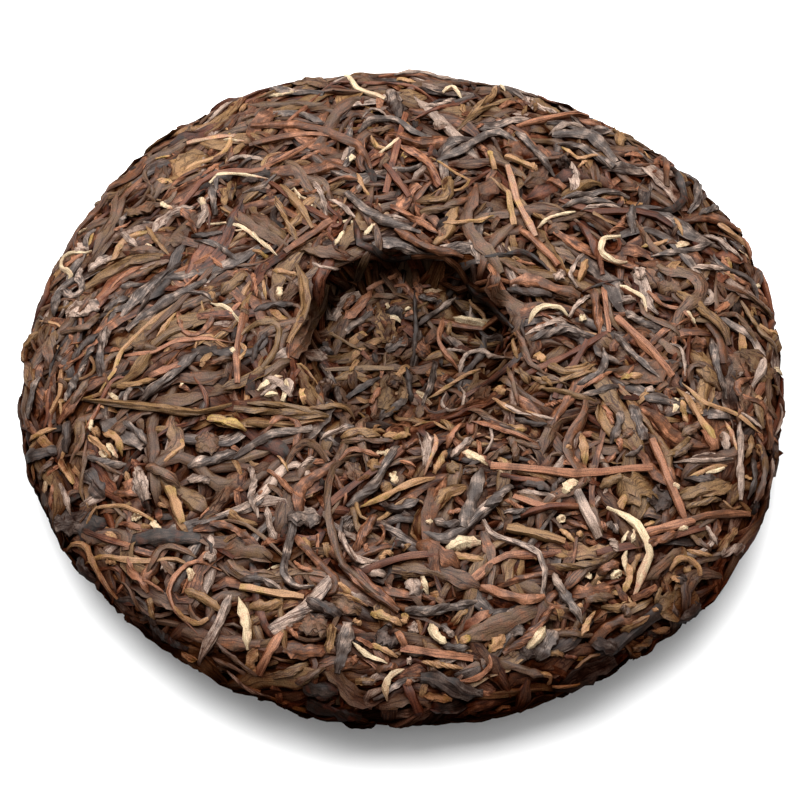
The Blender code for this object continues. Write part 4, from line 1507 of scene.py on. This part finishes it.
def grainGroup():  # lengthwise wrinkles, creases, blotches and specks over a leaf, sizes in mm
    inputs = [("Vector", "Vector", None)]
    inputs += [("Wrinkle Size", "Float", 0.5), ("Stretch", "Float", 9.0), ("Blotch Size", "Float", 3.0)]
    outputs = ("Wrinkles", "Blotches", "Creases", "Specks", "Height")
    tree, start, end = newGroup("leafGrain", inputs, [(label, "Float") for label in outputs])
    split = addNode(tree, "SeparateXYZ", {"Vector": start["Vector"]}).outputs
    squeezed = addMath(tree, "DIVIDE", split["Y"], start["Stretch"])
    place = addNode(tree, "CombineXYZ", {"X": split["X"], "Y": squeezed})
    scale = addMath(tree, "DIVIDE", 1 / mm, start["Wrinkle Size"])
    wrinkles = addNode(tree, "TexNoise", {
        "Vector": place, "Scale": scale, "Detail": grain["detail"], "Roughness": grain["roughness"],
    })
    blotches = addNode(tree, "TexNoise", {
        "Vector": start["Vector"], "Scale": addMath(tree, "DIVIDE", 1 / mm, start["Blotch Size"]),
        "Detail": grain["blotchDetail"],
    })
    specks = addNode(tree, "TexNoise", {
        "Vector": start["Vector"], "Scale": 1 / grain["speckSize"], "Detail": 1,
    })
    folds = addNode(tree, "TexNoise", {
        "Vector": addNode(tree, "VectorMath", {0: place, 1: grain["foldShift"]}),
        "Scale": addMath(tree, "MULTIPLY", scale, grain["foldScale"]), "Detail": 2,
        "Distortion": grain["foldDistortion"],
    })
    off = addMath(tree, "ABSOLUTE", addMath(tree, "SUBTRACT", folds, 0.5))
    creases = addRange(tree, off, (0, grain["creaseWidth"]), (0, 1), interpolation_type="SMOOTHSTEP")
    height = addMath(tree, "MULTIPLY_ADD", creases, grain["creaseHeight"], wrinkles)
    feed(tree, end, dict(zip(outputs, (wrinkles, blotches, creases, specks, height))))
    return tree


# What the grain does to a leaf's tone and to its light, from its lowest to its highest
colouring = {
    "noise": (0.3, 0.7),  # where most of a noise lies
    "wrinkleNoise": (0.33, 0.67),
    "blotchTone": (-0.05, 0.05),
    "wrinkleTone": (-0.03, 0.03),
    # the wrinkles' light is the leaf's own streaks plus painted shade and highlight across furrows and
    # crests; the creases' light is painted shade
    "wrinkleLight": (0.42, 1.54),
    "creaseLight": (0.34, 1.06),
    "blotchLight": (0.72, 1.28),
    "speckLight": (0.72, 1.30),
    # painted bounce light: the darker a point is made, the warmer its colour, down to the darkest
    "darkest": 0.2,  # it gets no warmer where it is darker than this
    "warmth": (0.0, 0.43, 0.64),  # its red, green and blue are dimmed by these powers of its light
}


def colourGroup():  # a leaf's tone under its painted shade and highlight, darker in its wrinkles and warmer where light doesn't reach
    inputs = [(label, "Float", 0.5) for label in ("Tone", "Wrinkles", "Blotches", "Specks")]
    inputs += [(label, "Float", 1.0) for label in ("Shade", "Creases", "Contrast", "Dimple Shade")]
    inputs += [("Warmth", "Vector", colouring["warmth"])]
    tree, start, end = newGroup("leafColour", inputs, [("Color", "Color")])
    noiseLimits, wrinkleLimits = colouring["noise"], colouring["wrinkleNoise"]
    drift = addRange(tree, start["Blotches"], noiseLimits, colouring["blotchTone"])
    streak = addRange(tree, start["Wrinkles"], noiseLimits, colouring["wrinkleTone"])
    tone = addMath(tree, "ADD", start["Tone"], addMath(tree, "ADD", drift, streak))
    ramp = addNode(tree, "ValToRGB", {"Fac": tone})
    stops = ramp.color_ramp.elements
    while len(stops) < len(teaTones):
        stops.new(0.5)
    for number, (stop, colour) in enumerate(zip(stops, teaTones.values())):
        stop.position = number / (len(teaTones) - 1)
        stop.color = (*colour, 1)
    furrows = addRange(tree, start["Wrinkles"], wrinkleLimits, colouring["wrinkleLight"])
    creases = addRange(tree, start["Creases"], (0, 1), colouring["creaseLight"])
    lines = addMath(tree, "POWER", addMath(tree, "MULTIPLY", furrows, creases), start["Contrast"])
    patches = addRange(tree, start["Blotches"], noiseLimits, colouring["blotchLight"])
    specks = addRange(tree, start["Specks"], noiseLimits, colouring["speckLight"])
    light = addMath(tree, "MULTIPLY", addMath(tree, "MULTIPLY", lines, specks), start["Shade"])
    light = addMath(tree, "MULTIPLY", light, patches)
    dark = addMath(tree, "MAXIMUM", addMath(tree, "MINIMUM", light, 1), colouring["darkest"])
    warm = addNode(tree, "VectorMath", {0: dark, 1: start["Warmth"]}, operation="POWER")
    tint = addNode(tree, "VectorMath", {0: ramp, 1: warm}, operation="MULTIPLY")
    reached = addMath(tree, "MULTIPLY", light, start["Dimple Shade"])
    feed(tree, end, {"Color": addNode(tree, "VectorMath", {0: tint, "Scale": reached}, operation="SCALE")})
    return tree


leafGrain = grainGroup()
leafColour = colourGroup()

finishNames = ("wrinkle", "stretch", "blotch", "contrast", "roughness", "sheen", "bump")  # sizes in mm
finishes = {
    "wideTwists": (0.48, 10, 3.0, 0.9, 0.50, 0.32, 0.9),
    "narrowTwists": (0.40, 10, 2.6, 0.9, 0.50, 0.32, 0.9),
    "foldedLeaves": (0.52, 9, 2.6, 0.8, 0.55, 0.26, 0.9),
    "leafFlakes": (0.6, 6, 2.5, 1.0, 0.58, 0.20, 1.0),
    "stems": (0.40, 22, 5.0, 0.7, 0.48, 0.28, 0.7),
    "strands": (0.45, 12, 3.0, 0.7, 0.52, 0.28, 0.7),
    "buds": (0.35, 14, 2.5, 0.5, 0.65, 0.15, 0.6),
    "crumbs": (0.50, 4, 1.8, 0.8, 0.60, 0.15, 0.8),
}
surface = {
    "coatRoughness": 0.42,
    "glossNoise": (0.35, 0.65),
    "glossSpread": 0.12,  # of the roughness, either way
    "sheenLight": (0.30, 1.05),  # of the painted shade: there is no sheen down in the gaps
    "bumpDepth": 0.7 * mm,
}


def newMaterial(name, **values):  # without the plain gloss of the default
    material = bpy.data.materials.new(name)
    material.use_nodes = True
    sockets = material.node_tree.nodes["Principled BSDF"].inputs
    feed(material.node_tree, sockets, {"Specular IOR Level": 0, **values})
    return material, material.node_tree, sockets


def addGrain(tree, place, wrinkle, stretch, blotch):
    sizes = {"Wrinkle Size": wrinkle, "Stretch": stretch, "Blotch Size": blotch}
    return addNode(tree, "Group", {"Vector": place, **sizes}, node_tree=leafGrain).outputs


def leafMaterial(kind):
    finish = dict(zip(finishNames, finishes[kind]))
    material, tree, shader = newMaterial(kind)
    place = addNode(tree, "UVMap", {}, uv_map="grain")
    marks = addGrain(tree, place, finish["wrinkle"], finish["stretch"], finish["blotch"])
    read = {
        name: addNode(tree, "Attribute", {}, attribute_name=name).outputs["Fac"]
        for name in ("tone", "shade", "dimpleShade", "wrinkled")
    }
    colour = addNode(tree, "Group", {
        "Tone": read["tone"], "Shade": read["shade"], "Dimple Shade": read["dimpleShade"],
        "Contrast": addMath(tree, "MULTIPLY", read["wrinkled"], finish["contrast"]),
        **{label: marks[label] for label in ("Wrinkles", "Blotches", "Creases", "Specks")},
    }, node_tree=leafColour)
    rough = (finish["roughness"] - surface["glossSpread"], finish["roughness"] + surface["glossSpread"])
    reached = addMath(tree, "MULTIPLY", read["shade"], read["dimpleShade"])
    feed(tree, shader, {
        "Base Color": colour,
        "Roughness": addRange(tree, marks["Blotches"], surface["glossNoise"], rough),
        "Coat Weight": addRange(tree, reached, surface["sheenLight"], (0, finish["sheen"])),
        "Coat Roughness": surface["coatRoughness"],
        "Normal": addNode(tree, "Bump", {
            "Height": marks["Height"], "Strength": finish["bump"], "Distance": surface["bumpDepth"],
        }),
    })
    return material


print("making leaves")
for kind in leafKinds:
    laid = [
        (chart, leaf) for chart in (topChart, underChart) for leaf in chart["leaves"] if leaf["kind"] == kind
    ]
    joinLeaves(kind, laid, leafMaterial(kind))


# The packed tea under the leaves, coloured near black as painted shade for the gaps between them
mass = {
    "depth": 1.9 * mm,  # below the bare core of the solid
    "lowest": 1.2 * mm,  # above the floor
    "sectors": 150,
    "rings": 90,
    "reliefs": ((5 * mm, 0.5 * mm), (1.8 * mm, 0.35 * mm)),  # how far apart its lumps are, and how high
    "reliefSeed": 7.0,
    "finish": (0.9, 3, 4),  # wrinkle, stretch and blotch
    # painted shade: near black and dark brown where the gaps show the mass
    "shadedColours": ((0.35, (0.012, 0.006, 0.003, 1)), (0.7, (0.056, 0.030, 0.017, 1))),
    "roughness": 0.8,
    "bumpDepth": 0.5 * mm,
}


def massMaterial():
    material, tree, shader = newMaterial("packedTea", Roughness=mass["roughness"])
    place = addNode(tree, "TexCoord", {}).outputs["Object"]
    marks = addGrain(tree, place, *mass["finish"])
    ramp = addNode(tree, "ValToRGB", {"Fac": marks["Wrinkles"]})
    for stop, (position, colour) in zip(ramp.color_ramp.elements, mass["shadedColours"]):
        stop.position, stop.color = position, colour
    bump = addNode(tree, "Bump", {"Height": marks["Height"], "Distance": mass["bumpDepth"]})
    feed(tree, shader, {"Base Color": ramp, "Normal": bump})
    return material


def makeMass():  # the section turned about the upright axis, set in under the leaves
    along = np.linspace(0, section["along"][-1], mass["rings"])
    radius = np.interp(along, section["along"], section["radius"])
    height = np.interp(along, section["along"], section["height"])
    bm = bmesh.new()
    line = [bm.verts.new((r, 0, z)) for r, z in zip(radius, height)]
    for first, second in zip(line, line[1:]):
        bm.edges.new((first, second))
    bmesh.ops.spin(
        bm, geom=bm.verts[:] + bm.edges[:], cent=(0, 0, 0), axis=(0, 0, 1), angle=fullTurn,
        steps=mass["sectors"], use_merge=True,
    )
    bmesh.ops.remove_doubles(bm, verts=bm.verts, dist=0.01 * mm)
    bmesh.ops.recalc_face_normals(bm, faces=bm.faces)
    spots = np.array([vert.co for vert in bm.verts])
    away, angle = np.hypot(spots[:, 0], spots[:, 1]), np.arctan2(spots[:, 1], spots[:, 0])
    upper = spots[:, 2] >= cake["equator"] - tiny
    half = len(section["along"]) // 2 + 1
    alongTop = np.interp(away, section["radius"][:half], section["along"][:half])
    alongUnder = np.interp(away, section["radius"][half - 1:][::-1], section["along"][half - 1:][::-1])
    run = np.where(upper, alongTop, alongUnder)
    surfacePoints = coreSurface(run * np.cos(angle), run * np.sin(angle), True)
    for size, rise in mass["reliefs"]:
        surfacePoints[:, 2] += rise * noiseAt(surfacePoints, size, mass["reliefSeed"])
    for vert, place in zip(bm.verts, surfacePoints):
        vert.co = place
    bm.normal_update()
    for vert, normal in [(vert, vert.normal.copy()) for vert in bm.verts]:
        vert.co -= normal * mass["depth"]
        vert.co.z = max(vert.co.z, mass["lowest"])
    bmesh.ops.triangulate(bm, faces=bm.faces)
    mesh = bpy.data.meshes.new("packedTea")
    bm.to_mesh(mesh)
    bm.free()
    mesh.shade_smooth()
    mesh.materials.append(massMaterial())
    piece = bpy.data.objects.new("packedTea", mesh)
    bpy.context.scene.collection.objects.link(piece)
    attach(piece, "root")
    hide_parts("tea_cake")
    print("packedTea", len(mesh.polygons), "triangles")


makeMass()

light = {
    "key": {"place": (-0.11, 0.46, 1.05), "size": 1.4, "power": 43},  # a large softbox, above and behind
    "sky": 1.24,  # overhead, less and less towards the horizon
}
ground = {
    "size": 20,  # metres, so that no low view looks past it
    "colour": (0.8, 0.8, 0.8, 1),
    "roughness": 0.9,
}


def addLights():
    data = bpy.data.lights.new("key", "AREA")
    data.size = light["key"]["size"]
    data.energy = light["key"]["power"]
    lamp = bpy.data.objects.new("key", data)
    lamp.location = light["key"]["place"]
    lamp.rotation_mode = "QUATERNION"
    lamp.rotation_quaternion = Vector(light["key"]["place"]).to_track_quat("Z", "Y")
    bpy.context.scene.collection.objects.link(lamp)
    world = bpy.data.worlds.new("studio")
    world.use_nodes = True
    tree = world.node_tree
    place = addNode(tree, "TexCoord", {}).outputs["Generated"]
    above = addMath(tree, "MAXIMUM", addNode(tree, "SeparateXYZ", {"Vector": place}).outputs["Z"], 0)
    strength = addMath(tree, "MULTIPLY", above, light["sky"])
    feed(tree, tree.nodes["Background"].inputs, {"Color": (1, 1, 1, 1), "Strength": strength})
    bpy.context.scene.world = world
    bpy.context.scene.view_settings.view_transform = "Standard"


def addFloor():
    bm = bmesh.new()
    bmesh.ops.create_grid(bm, x_segments=4, y_segments=4, size=ground["size"])
    mesh = bpy.data.meshes.new("floor")
    bm.to_mesh(mesh)
    bm.free()
    material, tree, shader = newMaterial("paleFloor", Roughness=ground["roughness"])
    feed(tree, shader, {"Base Color": ground["colour"]})
    mesh.materials.append(material)
    floor = bpy.data.objects.new("floor", mesh)
    bpy.context.scene.collection.objects.link(floor)
    floor.visible_diffuse = False  # it casts no light back on the tea


print("lights and floor")
addLights()
addFloor()
